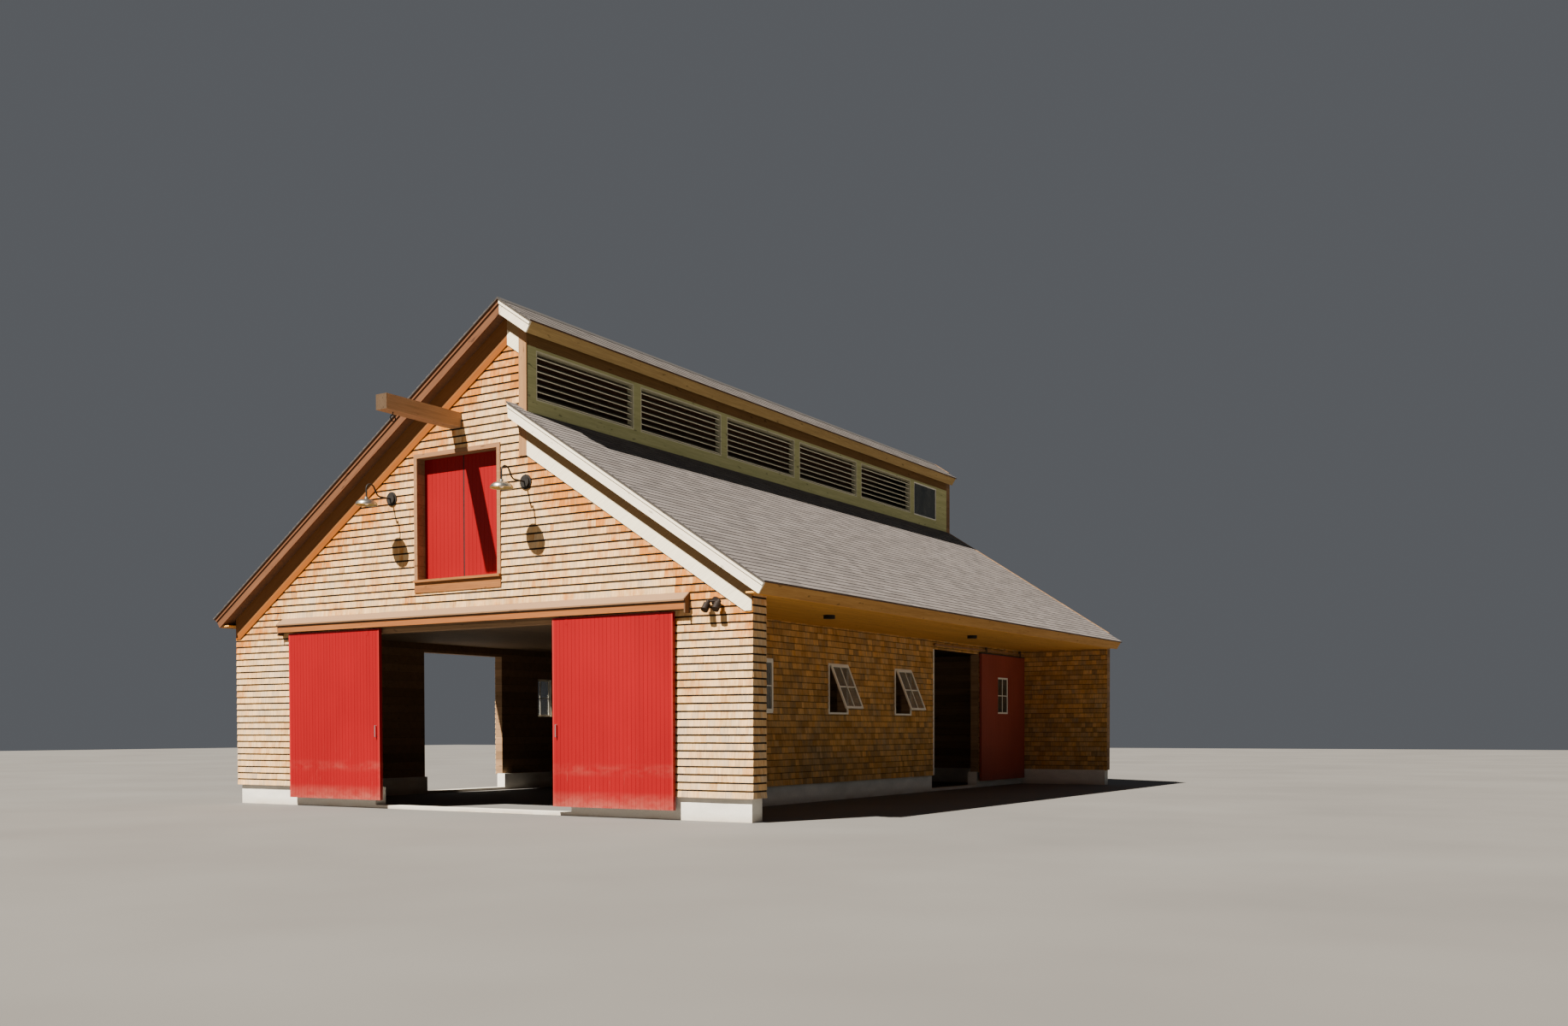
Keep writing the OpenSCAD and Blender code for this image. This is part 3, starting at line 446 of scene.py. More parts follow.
@dataclass(frozen=True)
class AsphaltTabs:
    """Asphalt shingles: a grey-brown blend for each tab under coloured granules."""

    name: str
    dark: Colour
    light: Colour
    brown: Colour
    brown_share: float = 0.3
    granule_scale: float = 420.0
    granule_shade: Span = (0.76, 1.24)
    stain_scale: Way = (0.5, 0.35, 0.5)
    stain_shade: Span = (0.92, 1.06)
    lap_shade: float = 0.6
    # Painted shadow: how dark the line under the next course's butt is painted
    painted_butt_shadow: float = 0.5
    relief: float = 0.0015
    rough: float = 0.94

    def build(self) -> Material:
        """Mixes two greys by the tab's tone, with granules, broad stains and a painted shadow line under each
        butt.

        Returns:
            The material.
        """
        sheet = NodeSheet(self.name)
        tone, hue, shift, height = sheet.marks()
        grey = sheet.mix(tone, self.dark, self.light)
        colour = sheet.mix(sheet.math("MULTIPLY", hue, self.brown_share), grey, self.brown)
        granules = sheet.noise((self.granule_scale,) * 3, 2.0, 0.7, shift=shift)
        stain = sheet.noise(self.stain_scale)
        light = sheet.product((granules, 0.25, 0.75, *self.granule_shade),
                              (stain, *MIDDLE, *self.stain_shade), (height, 0.0, 0.1, self.lap_shade, 1.0),
                              # the last span paints the shadow line under the next course's butt
                              (height, 0.84, 0.94, 1.0, self.painted_butt_shadow))
        sheet.bump(granules, self.relief)
        return sheet.finish(sheet.shade(colour, light), self.rough)


@dataclass(frozen=True)
class Split:
    """A second pair of colours beyond a place on one axis of the Object coordinates."""

    axis: int
    start: float
    light: Colour
    dark: Colour


@dataclass(frozen=True)
class SawnTimber:
    """Sawn timber with grain along its length, knots, stains and, if asked for, a second colour."""

    name: str
    light: Colour
    dark: Colour
    grain: Grain
    weathered: Colour | None = None
    split: Split | None = None
    rough: float = 0.78
    knot_shade: float = 0.55
    end_shade: float = 1.0
    board: float = 0.0
    board_shade: Span = (0.72, 1.1)
    seam: float = 0.05
    seam_shade: float = 0.25
    weathering: float = 0.85
    stain_scale: Span = (0.5, 9.0)
    knot_scale: Span = (5.0, 16.0)
    warp: float = 0.4
    relief: float = 0.0015

    def seams(self, sheet: NodeSheet, colour: Socket) -> Socket:
        """Level boards: a tone for each, from its number z / board rounded down, and dark seams.

        Args:
            sheet: the material's nodes.
            colour: the timber's colour.

        Returns:
            The boards' colour.
        """
        step = sheet.math("DIVIDE", sheet.axis(2), self.board)
        number = sheet.math("FLOOR", step)
        tone = sheet.node("ShaderNodeTexWhiteNoise", {"W": number}, noise_dimensions="1D").outputs["Value"]
        line = sheet.span(sheet.math("SUBTRACT", step, number), 0.0, self.seam, self.seam_shade, 1.0)
        return sheet.shade(sheet.shade(colour, sheet.span(tone, 0.0, 1.0, *self.board_shade)), line)

    def build(self) -> Material:
        """Mixes light and dark by stretched noise, adds knots, and greys what looks up.

        Returns:
            The material.
        """
        sheet = NodeSheet(self.name)
        grain = sheet.wood(self.grain, warp=self.warp)
        stain = sheet.wood(self.grain, *self.stain_scale, 4.0, 0.6)
        blend = sheet.math("ADD", sheet.span(grain, 0.32, 0.68, 0.0, 0.6),
                           sheet.span(stain, *MIDDLE, 0.0, 0.5))
        light, dark = self.light, self.dark
        if self.split is not None:
            side = sheet.math("GREATER_THAN", sheet.axis(self.split.axis), self.split.start)
            light = sheet.mix(side, light, self.split.light)
            dark = sheet.mix(side, dark, self.split.dark)
        spots = sheet.wood(self.grain, *self.knot_scale, 1.0, 0.4)
        knots = sheet.span(spots, 0.7, 0.76, 1.0, self.knot_shade)
        colour = sheet.shade(sheet.mix(blend, light, dark), knots)
        if self.board > 0.0:
            colour = self.seams(sheet, colour)
        if self.end_shade < 1.0:
            end = sheet.math("ABSOLUTE", sheet.facing(1 if self.grain is Grain.DEEP else 0))
            colour = sheet.shade(colour, sheet.span(end, 0.6, 0.8, 1.0, self.end_shade))
        if self.weathered is not None:
            colour = sheet.mix(sheet.span(sheet.facing(2), 0.2, 0.6, 0.0, self.weathering), colour,
                               self.weathered)
        sheet.bump(grain, self.relief)
        return sheet.finish(colour, self.rough, gloss=DRY_WOOD_GLOSS)


@dataclass(frozen=True)
class FriezeTimber:
    """Frieze boards: the strip under the rake's overhang is painted in shadow colours, down to where the
    overhang's cast shadow ends.
    """

    name: str = "frieze boards"
    left: Colour = (0.22, 0.06, 0.005)
    # Painted shadow: each side's colour under the rake's cast shadow
    left_painted_shadow: Colour = (0.2, 0.078, 0.022)
    right: Colour = (0.9, 0.8, 0.58)
    right_painted_shadow: Colour = (0.28, 0.17, 0.075)
    eave: float = 6.75
    # Painted shadow: depth below each slope where the rake's cast shadow ends, and how soft its edge is
    left_shadow_depth: float = 0.53
    right_shadow_depth: float = 0.43
    shadow_edge_soft: float = 0.015
    ridge_x: float = 1.2
    step_x: float = 1.645
    grain_shade: Span = (0.78, 1.08)
    warp: float = 0.4
    relief: float = 0.0012
    rough: float = 0.78

    def depth(self, sheet: NodeSheet, grain: Grain, foot_x: float, foot_z: float) -> Socket:
        """How far a point lies below a slope's top: (x - foot x) sin a - (z - foot z) cos a.

        Args:
            sheet: the material's nodes.
            grain: the slope, with the angle a.
            foot_x: the foot's place in X.
            foot_z: its height.

        Returns:
            The depth in metres.
        """
        angle = math.radians(GRAIN_ANGLE[grain])
        across = sheet.math("MULTIPLY", sheet.math("SUBTRACT", sheet.axis(0), foot_x), math.sin(angle))
        up = sheet.math("MULTIPLY", sheet.math("SUBTRACT", sheet.axis(2), foot_z), math.cos(angle))
        return sheet.math("SUBTRACT", across, up)

    def build(self) -> Material:
        """Mixes each side's own colour with its painted shadow colour by the depth below its slope.

        Returns:
            The material.
        """
        sheet = NodeSheet(self.name)
        grain = sheet.wood(Grain.MAIN_SLOPE, warp=self.warp)
        ridge_z = EAVE_Z + (self.eave + self.ridge_x) * math.tan(math.radians(GRAIN_ANGLE[Grain.MAIN_SLOPE]))
        left = self.left_painted_shadow, self.left, self.left_shadow_depth
        right = self.right_painted_shadow, self.right, self.right_shadow_depth
        slopes = ((Grain.MAIN_SLOPE, -self.eave, EAVE_Z, left),
                  (Grain.SHORT_SLOPE, self.ridge_x, ridge_z, right),
                  (Grain.LOW_SLOPE, self.eave, EAVE_Z, right))
        colours = []
        for way, foot_x, foot_z, (shadowed, unshadowed, edge) in slopes:
            # painted shadow above the depth where the rake's cast shadow ends, the side's own colour below it
            past = sheet.span(self.depth(sheet, way, foot_x, foot_z), *about(edge, self.shadow_edge_soft))
            colours.append(sheet.mix(past, shadowed, unshadowed))
        past_ridge = sheet.math("GREATER_THAN", sheet.axis(0), self.ridge_x)
        past_step = sheet.math("GREATER_THAN", sheet.axis(0), self.step_x)
        colour = sheet.mix(past_step, sheet.mix(past_ridge, colours[0], colours[1]), colours[2])
        sheet.bump(grain, self.relief)
        return sheet.finish(sheet.shade(colour, sheet.span(grain, *MIDDLE, *self.grain_shade)), self.rough,
                            gloss=DRY_WOOD_GLOSS)


@dataclass(frozen=True)
class RoofSlab:
    """The roof slabs under the tabs: dark boards below, and the roofing's cut edges on the other faces."""

    name: str = "roof slab"
    boards: Colour = (0.14, 0.062, 0.026)
    board_shade: Colour = (0.075, 0.035, 0.016)
    edge: Colour = (0.026, 0.021, 0.018)
    relief: float = 0.0015
    rough: float = 0.85

    def build(self) -> Material:
        """Mixes two browns along the slope below, and takes the roofing's grey on the other faces.

        Returns:
            The material.
        """
        sheet = NodeSheet(self.name)
        grain = sheet.wood(Grain.DEEP)
        stain = sheet.wood(Grain.DEEP, 0.4, 8.0, 3.0, 0.6)
        blend = sheet.product((grain, *MIDDLE), (stain, *MIDDLE, 0.5, 1.0))
        below = sheet.mix(blend, self.boards, self.board_shade)
        sheet.bump(grain, self.relief)
        return sheet.finish(sheet.mix(sheet.span(sheet.facing(2), -0.6, -0.4), below, self.edge), self.rough)


@dataclass(frozen=True)
class LouvreTimber:
    """Louvre timber: pale weathered edges that look out, brightened as a painted highlight, and faces between
    them painted near black as painted shade.
    """

    name: str = "louvre slats"
    # Painted highlight: the edges' weathered pale colours, brightened further to paint the light on them
    edge: Colour = (0.98, 0.94, 0.74)
    edge_shade: Colour = (0.8, 0.74, 0.54)
    # Painted shade: the near-black colour of the slats' faces
    face: Colour = (0.06, 0.06, 0.035)
    edge_facing: float = 0.78
    facing_soft: float = 0.02
    relief: float = 0.001
    rough: float = 0.82

    def build(self) -> Material:
        """Takes the edge colours, brightened as a painted highlight, where a face looks along X, and the
        near-black painted shade on the slats' faces.

        Returns:
            The material.
        """
        sheet = NodeSheet(self.name)
        grain = sheet.wood(Grain.DEEP)
        # weathered edge colour, brightened as a painted highlight
        worn = sheet.mix(sheet.span(grain, 0.32, 0.68), self.edge, self.edge_shade)
        out = sheet.span(sheet.math("ABSOLUTE", sheet.facing(0)), self.edge_facing - self.facing_soft,
                         self.edge_facing)
        sheet.bump(grain, self.relief)
        return sheet.finish(sheet.mix(out, self.face, worn), self.rough)


@dataclass(frozen=True)
class BoardPaint:
    """Paint on upright boards: faded streaks, a dusty foot, splashes and rubbed patches."""

    name: str
    base: Colour
    deep: Colour
    dust: Colour = (0.36, 0.13, 0.09)
    # The hangers' dark steel, made near black to paint the shade under the hood as well
    steel: Colour = (0.035, 0.032, 0.03)
    foot: float = 0.15
    dusty: float = 0.3
    worn: float = 1.0
    # Above this height the leaves take the dark steel colour: the hangers' own steel, and painted shade under
    # the hood
    steel_and_shade_above: float = 100.0
    dust_share: float = 0.62
    band_foot: Span = (0.68, 0.78)
    band_head: Span = (0.94, 0.84)
    band_share: float = 0.16
    rub_share: float = 0.4
    rub_height: Span = (1.5, 0.5)
    streak_scale: Way = (14.0, 14.0, 0.6)
    fade_scale: Way = (0.7, 0.7, 0.5)
    splash_scale: Way = (3.0, 3.0, 6.0)
    scuff_scale: Way = (30.0, 30.0, 2.2)
    board_shade: Span = (0.97, 1.02)
    rough: Span = (0.5, 0.9)
    relief: float = 0.0008
    gloss: float = 0.2

    def build(self) -> Material:
        """Mixes base and deep paint by streaks, then lays dust over the foot by height and noise.

        Returns:
            The material.
        """
        sheet = NodeSheet(self.name)
        tone, height = sheet.marks()[0], sheet.axis(2)
        streak = sheet.noise(self.streak_scale, 5.0, 0.62)
        fade = sheet.noise(self.fade_scale, 3.0, 0.5)
        blend = sheet.math("ADD", sheet.span(streak, *MIDDLE, 0.0, 0.25),
                           sheet.span(fade, *MIDDLE, 0.0, 0.75))
        light = sheet.span(tone, 0.0, 1.0, *self.board_shade)
        colour = sheet.shade(sheet.mix(blend, self.base, self.deep), light)
        splash = sheet.noise(self.splash_scale, 6.0, 0.72)
        scuff = sheet.noise(self.scuff_scale, 5.0, 0.75)
        low = sheet.product((height, self.foot, self.foot + self.dusty, self.dust_share, 0.0),
                            (splash, *MIDDLE, 0.15, 1.0))
        band = sheet.product((height, *self.band_foot), (height, *self.band_head),
                             (splash, 0.4, 0.7, 0.0, self.band_share * self.worn))
        rub = sheet.product((scuff, 0.62, 0.74, 0.0, self.rub_share * self.worn), (height, *self.rub_height))
        total = sheet.math("MAXIMUM", low, band, rub)
        colour = sheet.mix(total, colour, self.dust)
        # dark steel above the leaves' tops: the hangers' own steel, and painted shade under the hood
        colour = sheet.mix(sheet.math("GREATER_THAN", height, self.steel_and_shade_above), colour, self.steel)
        sheet.bump(streak, self.relief)
        return sheet.finish(colour, sheet.span(total, 0.0, 1.0, *self.rough), gloss=self.gloss)


@dataclass(frozen=True)
class Concrete:
    """Cast concrete: a pale grey with broad mottling, pits, and soil splashed at the ground."""

    name: str = "cast concrete"
    base: Colour = (0.78, 0.74, 0.65)
    soil: Colour = (0.3, 0.22, 0.14)
    soil_top: float = 0.16
    soil_share: float = 0.7
    broad_scale: Way = (1.3, 1.3, 2.5)
    fine_scale: float = 60.0
    broad_shade: Span = (0.8, 1.08)
    fine_shade: Span = (0.9, 1.05)
    relief: float = 0.002
    rough: float = 0.9

    def build(self) -> Material:
        """Mixes greys by broad noise, darkens towards the ground and pits the surface.

        Returns:
            The material.
        """
        sheet = NodeSheet(self.name)
        broad = sheet.noise(self.broad_scale, 5.0)
        fine = sheet.noise((self.fine_scale,) * 3, rough=0.7)
        light = sheet.product((broad, *MIDDLE, *self.broad_shade), (fine, *MIDDLE, *self.fine_shade))
        soiled = sheet.product((sheet.axis(2), 0.0, self.soil_top, self.soil_share, 0.0),
                               (broad, 0.35, 0.6, 0.3, 1.0))
        sheet.bump(fine, self.relief)
        return sheet.finish(sheet.mix(soiled, sheet.shade(self.base, light), self.soil), self.rough)


@dataclass(frozen=True)
class Metal:
    """Metal or painted metal with a mottled surface and streaks of dirt."""

    name: str
    light: Colour
    dark: Colour
    rough: float
    metallic: float
    mottle: float = 18.0
    gloss: float = 0.5
    smoother: float = 0.08
    rougher: float = 0.1
    dirt_scale: Way = (26.0, 26.0, 2.0)
    relief: float = 0.0004

    def build(self) -> Material:
        """Mixes two tones by noise and varies the roughness with it.

        Returns:
            The material.
        """
        sheet = NodeSheet(self.name)
        spangle = sheet.noise((self.mottle,) * 3, *FINE)
        blend = sheet.product((spangle, *MIDDLE), (sheet.noise(self.dirt_scale), 0.3, 0.75, 0.5, 1.0))
        sheet.bump(spangle, self.relief)
        rough = sheet.span(spangle, *MIDDLE, self.rough - self.smoother, self.rough + self.rougher)
        return sheet.finish(sheet.mix(blend, self.light, self.dark), rough, self.metallic, self.gloss)


@dataclass(frozen=True)
class WindowGlass:
    """A thin clear pane with a faint film of dust."""

    name: str
    clear: Colour
    dusty: Colour
    cover: float
    uneven: float = 0.1
    dust_scale: Way = (2.5, 2.5, 1.5)
    rough: Span = (0.03, 0.12)

    def build(self) -> Material:
        """Lets part of the light through and varies the roughness by dust.

        Returns:
            The material.
        """
        sheet = NodeSheet(self.name)
        dust = sheet.noise(self.dust_scale)
        cover = sheet.span(dust, *MIDDLE, *about(self.cover, self.uneven))
        sheet.join(cover, sheet.shader.inputs["Alpha"])
        return sheet.finish(sheet.mix(sheet.span(dust, *MIDDLE), self.clear, self.dusty),
                            sheet.span(dust, 0.35, 0.75, *self.rough))


@dataclass(frozen=True)
class FrostedBulb:
    """A frosted bulb of warm white glass."""

    name: str = "frosted bulb"
    pale: Colour = (0.92, 0.86, 0.7)
    deep: Colour = (0.8, 0.72, 0.55)
    frost_scale: float = 90.0
    coat: float = 0.4
    rough: float = 0.35

    def build(self) -> Material:
        """A milky shell with mottled frost.

        Returns:
            The material.
        """
        sheet = NodeSheet(self.name)
        frost = sheet.span(sheet.noise((self.frost_scale,) * 3, *SOFT), *MIDDLE)
        sheet.shader.inputs["Coat Weight"].default_value = self.coat
        return sheet.finish(sheet.mix(frost, self.pale, self.deep), self.rough)


class Finishes:
    """Every finish of the barn, made once."""

    def __init__(self) -> None:
        self.wall_shingles = CedarShingles("wall shingles", (0.7, 0.5, 0.31), (0.88, 0.54, 0.24),
                                           (0.6, 0.2, 0.024)).build()
        # Painted shade and light: a copy of the wall shingles for the faces in the porch's shade; its more
        # saturated colours paint that shade and are lifted to paint the light bouncing into it, with a
        # lighter painted butt shadow
        self.porch_shade_shingles = CedarShingles("porch shingles", (0.5, 0.33, 0.15), (0.76, 0.41, 0.12),
                                            (0.78, 0.35, 0.06), painted_butt_shadow=0.3, tone_low=0.66, tone_high=1.16,
                                            shadow_band_start=0.78).build()
        self.roofing = AsphaltTabs("asphalt tabs", (0.078, 0.068, 0.064), (0.135, 0.118, 0.111),
                                   (0.16, 0.118, 0.097)).build()
        # Painted shade: a darker copy of the tabs for the upper slope and the ridge, painting the butts'
        # shadows seen at a grazing angle
        self.shaded_upper_roofing = AsphaltTabs("upper asphalt tabs", (0.056, 0.048, 0.044), (0.096, 0.083, 0.076),
                                         (0.12, 0.088, 0.072)).build()
        self.roof_slab = RoofSlab().build()
        self.concrete = Concrete().build()
        self.timber()
        self.paint()
        self.metal()

    def timber(self) -> None:
        """Walls' sheathing, floor, trim, ceilings, louvres, beam, hood and casing."""
        across, deep, upright = Grain.ACROSS, Grain.DEEP, Grain.UPRIGHT
        white, white_shade = (0.92, 0.84, 0.68), (0.74, 0.64, 0.48)
        self.sheathing = SawnTimber("wall sheathing", (0.34, 0.2, 0.1), (0.2, 0.115, 0.06), across,
                                    board=0.19).build()
        self.floor = SawnTimber("loft floor boards", (0.26, 0.17, 0.1), (0.15, 0.1, 0.06), deep).build()
        self.main_rake = SawnTimber("upper rake boards", (0.16, 0.066, 0.03), (0.095, 0.038, 0.017),
                                    Grain.MAIN_SLOPE, split=Split(0, 1.2, white, white_shade)).build()
        self.low_rake = SawnTimber("lower rake boards", white, white_shade, Grain.LOW_SLOPE).build()
        self.frieze = FriezeTimber().build()
        self.corner = SawnTimber("corner boards", (0.35, 0.185, 0.082), (0.23, 0.11, 0.045), upright).build()
        # Painted light: the lower fascia's colours are lifted to paint the light bouncing into the porch's
        # shade
        self.fascia = SawnTimber("eave fascia", (0.56, 0.3, 0.09), (0.37, 0.175, 0.045), deep,
                                 split=Split(2, 6.0, (0.56, 0.38, 0.15), (0.34, 0.22, 0.085))).build()
        # Painted light: colours lifted to paint the light bouncing up under the left eave and the porch roof
        self.ceiling = SawnTimber("ceiling boards", (0.86, 0.42, 0.09), (0.58, 0.27, 0.05), deep).build()
        # Painted light: the frame's colours are lifted to paint the light bouncing into the clerestory's
        # shade
        self.louvre = SawnTimber("louvre frame timber", (0.58, 0.56, 0.27), (0.38, 0.37, 0.16), deep,
                                 weathered=(0.5, 0.47, 0.28),
                                 split=Split(2, 8.268, (0.24, 0.13, 0.045), (0.14, 0.075, 0.026))).build()
        self.slats = LouvreTimber().build()
        self.rail = SawnTimber("louvre rails", (0.8, 0.76, 0.52), (0.56, 0.53, 0.35), deep).build()
        self.beam = SawnTimber("hoist beam timber", (0.4, 0.25, 0.14), (0.25, 0.15, 0.08), deep,
                               weathered=(0.26, 0.19, 0.13), end_shade=0.23).build()
        self.hood_top = SawnTimber("hood board", (0.24, 0.13, 0.065), (0.16, 0.08, 0.036), across,
                                   weathered=(0.24, 0.14, 0.075)).build()
        self.hood_face = SawnTimber("hood fascia", (0.3, 0.105, 0.028), (0.2, 0.064, 0.016), across).build()
        self.hood_end = SawnTimber("hood ends", (0.17, 0.095, 0.05), (0.09, 0.05, 0.028), upright).build()
        sill_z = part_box("loft_door_left")[0].z
        self.casing = SawnTimber("loft casing", (0.3, 0.12, 0.035), (0.17, 0.062, 0.018), across,
                                 weathered=(0.55, 0.42, 0.3),
                                 split=Split(2, sill_z, (0.3, 0.155, 0.075), (0.2, 0.095, 0.042))).build()

    def paint(self) -> None:
        """The leaves' paint, dark above their tops where the hangers are: their own dark steel, and painted
        shade under the hood.
        """
        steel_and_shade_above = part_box("hood_fascia")[0].z - HANGER_GAP
        self.red = BoardPaint("red board paint", (0.25, 0.0001, 0.0035), (0.2, 0.0001, 0.0025),
                              steel_and_shade_above=steel_and_shade_above).build()
        self.worn_red = BoardPaint("worn edge paint", (0.36, 0.018, 0.018), (0.28, 0.007, 0.007),
                                   worn=1.6).build()
        self.loft_red = BoardPaint("loft door paint", (0.25, 0.0002, 0.003), (0.2, 0.0002, 0.002), dusty=0.01,
                                   worn=0.2).build()
        # Painted light: the side door's colours are lifted to paint the light bouncing into the porch's shade
        self.dark_red = BoardPaint("side door paint", (0.36, 0.07, 0.042), (0.25, 0.045, 0.028), worn=0.4,
                                   dust=(0.16, 0.08, 0.06), steel_and_shade_above=steel_and_shade_above).build()
        self.cream = Metal("cream window paint", (0.95, 0.92, 0.8), (0.86, 0.8, 0.64), 0.5, 0.0, 7.0).build()

    def metal(self) -> None:
        """Lamps, tracks, pulls and glass."""
        self.bright_steel = Metal("bright steel", (0.42, 0.4, 0.36), (0.26, 0.24, 0.2), 0.3, 0.95).build()
        self.lining = Metal("lamp lining", (0.5, 0.38, 0.13), (0.34, 0.25, 0.08), 0.5, 0.2).build()
        self.galvanised = Metal("galvanised steel", (0.5, 0.5, 0.48), (0.34, 0.34, 0.33), 0.42, 0.85).build()
        self.track_steel = Metal("track steel", (0.3, 0.29, 0.27), (0.2, 0.18, 0.16), 0.55, 0.7).build()
        self.brown_steel = Metal("brown track steel", (0.34, 0.17, 0.06), (0.22, 0.11, 0.04), 0.6,
                                 0.1).build()
        self.dark_steel = Metal("dark painted steel", (0.012, 0.01, 0.009), (0.022, 0.019, 0.016), 0.6, 0.0,
                                gloss=0.2).build()
        self.brown_metal = Metal("brown painted metal", (0.016, 0.009, 0.006), (0.01, 0.006, 0.004), 0.6, 0.0,
                                 gloss=0.15).build()
        self.glass = WindowGlass("window glass", (0.16, 0.17, 0.15), (0.3, 0.29, 0.24), 0.55).build()
        self.dark_pane = WindowGlass("dark pane", (0.03, 0.035, 0.03), (0.07, 0.07, 0.055), 0.9).build()
        self.bulb = FrostedBulb().build()


@dataclass
class Courses:
    """Wedges that lap each other in courses on a face, each thick at its butt and thin under the next.

    A course's joints are the running sum of random widths. A wedge has four front corners at depth
    butt - (butt - tip) * (height above its butt line / its full height), and two back corners at its butt.
    """

    face: Face
    start: float
    end: float
    lines: np.ndarray
    narrow: float
    wide: float
    gap: float
    butt: float
    tip: float
    ragged: float
    seed: int
    lap: float = 0.012
    spread: float = 0.34
    uneven: float = 0.07
    warm_reach: float = 1.25
    warm_gain: float = 0.8
    least_width: float = 0.01
    least_height: float = 0.006

    def layout(self) -> dict[str, np.ndarray]:
        """Places every wedge of every course, before anything is cut out.

        Returns:
            The wedges' edges, butts and marks.
        """
        draw = np.random.default_rng(self.seed)
        rows = len(self.lines) - 1
        columns = int((self.end - self.start) / self.narrow) + 3
        joints = np.cumsum(draw.uniform(self.narrow, self.wide, (rows, columns)), axis=1)
        joints += self.start - draw.uniform(0.0, self.wide, (rows, 1)) - joints[:, :1]
        left, right = joints[:, :-1] + self.gap / 2, joints[:, 1:] - self.gap / 2
        foot = np.broadcast_to(self.lines[:-1, None], left.shape)
        drop = draw.uniform(-self.ragged, self.ragged, left.shape)
        height = np.broadcast_to(np.diff(self.lines)[:, None] + self.lap, left.shape)
        wedges = {"left": left, "right": right, "foot": foot + drop, "height": height,
                  "butt": self.butt * draw.uniform(1.0 - self.uneven, 1.0 + self.uneven, left.shape)}
        for mark in ("tone", "hue", "shift"):
            wedges[mark] = draw.random(left.shape)
        wedges["hue"] = 0.5 + (wedges["hue"] - 0.5) * self.spread
        return {key: value.ravel() for key, value in wedges.items()}

    def cut(self, wedges: dict[str, np.ndarray], zone: Rect) -> dict[str, np.ndarray]:
        """Keeps what lies in one zone.

        Args:
            wedges: every wedge, as layout gives them.
            zone: (u low, u high, v low, v high).

        Returns:
            The wedges that are left, with their low and high edges.
        """
        left, right = np.maximum(wedges["left"], zone[0]), np.minimum(wedges["right"], zone[1])
        low = np.maximum(wedges["foot"], zone[2])
        high = np.minimum(wedges["foot"] + wedges["height"], zone[3])
        kept = (right - left > self.least_width) & (high - low > self.least_height)
        part = {**wedges, "left": left, "right": right, "low": low, "high": high}
        return {key: value[kept] for key, value in part.items()}

    def build(self, piece: Piece, zones: list[Rect],
              limit: tuple[list[float], list[float]] | None = None) -> None:
        """Cuts the wedges to the zones and the top line, and makes the piece.

        Args:
            piece: what they become.
            zones: (u low, u high, v low, v high) of each part of the face that is covered.
            limit: places along the face and the greatest height there.
        """
        wedges = self.layout()
        parts = [self.cut(wedges, zone) for zone in zones]
        cut = {key: np.concatenate([part[key] for part in parts]) for key in parts[0]}
        corners_u = np.stack([cut["left"], cut["right"], cut["right"], cut["left"]], axis=1)
        corners_v = np.stack([cut["low"], cut["low"], cut["high"], cut["high"]], axis=1)
        if limit is not None:
            below = np.interp((cut["left"] + cut["right"]) / 2, *limit) - cut["low"]
            cut["hue"] = cut["hue"] + self.warm_gain * np.clip(1.0 - below / self.warm_reach, 0.0, 1.0)
            corners_v = np.minimum(corners_v, np.interp(corners_u, *limit))
            tall = (corners_v[:, 2:] - corners_v[:, 1::-1]).max(axis=1) > self.least_height
            corners_u, corners_v = corners_u[tall], corners_v[tall]
            cut = {key: value[tall] for key, value in cut.items()}
        rise = (corners_v - cut["foot"][:, None]) / cut["height"][:, None]
        depth = cut["butt"][:, None] + (self.tip - cut["butt"][:, None]) * np.clip(rise, 0.0, 1.0)
        front = self.face.place(corners_u, corners_v, depth)
        back = self.face.place(corners_u[:, :2], corners_v[:, :2], np.zeros((len(depth), 2)))
        points = np.concatenate([front, back], axis=1)
        first = np.arange(len(points))[:, None] * points.shape[1]
        quads = np.concatenate([first + [0, 1, 2, 3], first + [4, 5, 1, 0]])
        ends = np.concatenate([first + [4, 0, 3], first + [5, 2, 1]])
        heights = np.concatenate([rise, rise[:, :2]], axis=1)
        kinds = (cut[key][:, None] for key in ("tone", "hue", "shift"))
        marks = np.stack(np.broadcast_arrays(*kinds, heights), axis=-1)
        piece.make(points, quads.tolist() + ends.tolist(), marks)


def zones_round(whole: Rect, holes: list[Rect]) -> list[Rect]:
    """Splits a rectangle into upright strips that leave out holes.

    Args:
        whole: (u low, u high, v low, v high).
        holes: rectangles to leave out, in the same form.

    Returns:
        Rectangles that cover the rest.
    """
    edges = sorted({whole[0], whole[1], *(e for h in holes for e in h[:2] if whole[0] < e < whole[1])})
    zones = []
    for low, high in zip(edges[:-1], edges[1:]):
        middle = (low + high) / 2
        foot = whole[2]
        for start, stop in sorted((h[2], h[3]) for h in holes if h[0] < middle < h[1]):
            if start > foot:
                zones.append((low, high, foot, start))
            foot = max(foot, stop)
        if foot < whole[3]:
            zones.append((low, high, foot, whole[3]))
    return zones


def node_rect(face: Face, node: str, margin: float = 0.0) -> Rect:
    """A CAD node's rectangle as seen square to a face.

    Args:
        face: the face it is seen on.
        node: the node's name.
        margin: how far the rectangle is widened.

    Returns:
        (u low, u high, v low, v high).
    """
    corners = np.array([tuple(c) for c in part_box(node)]) - np.array(face.origin)
    u, v = np.sort(corners @ np.array(face.along)), np.sort(corners @ np.array(face.up))
    return u[0] - margin, u[1] + margin, v[0] - margin, v[1] + margin


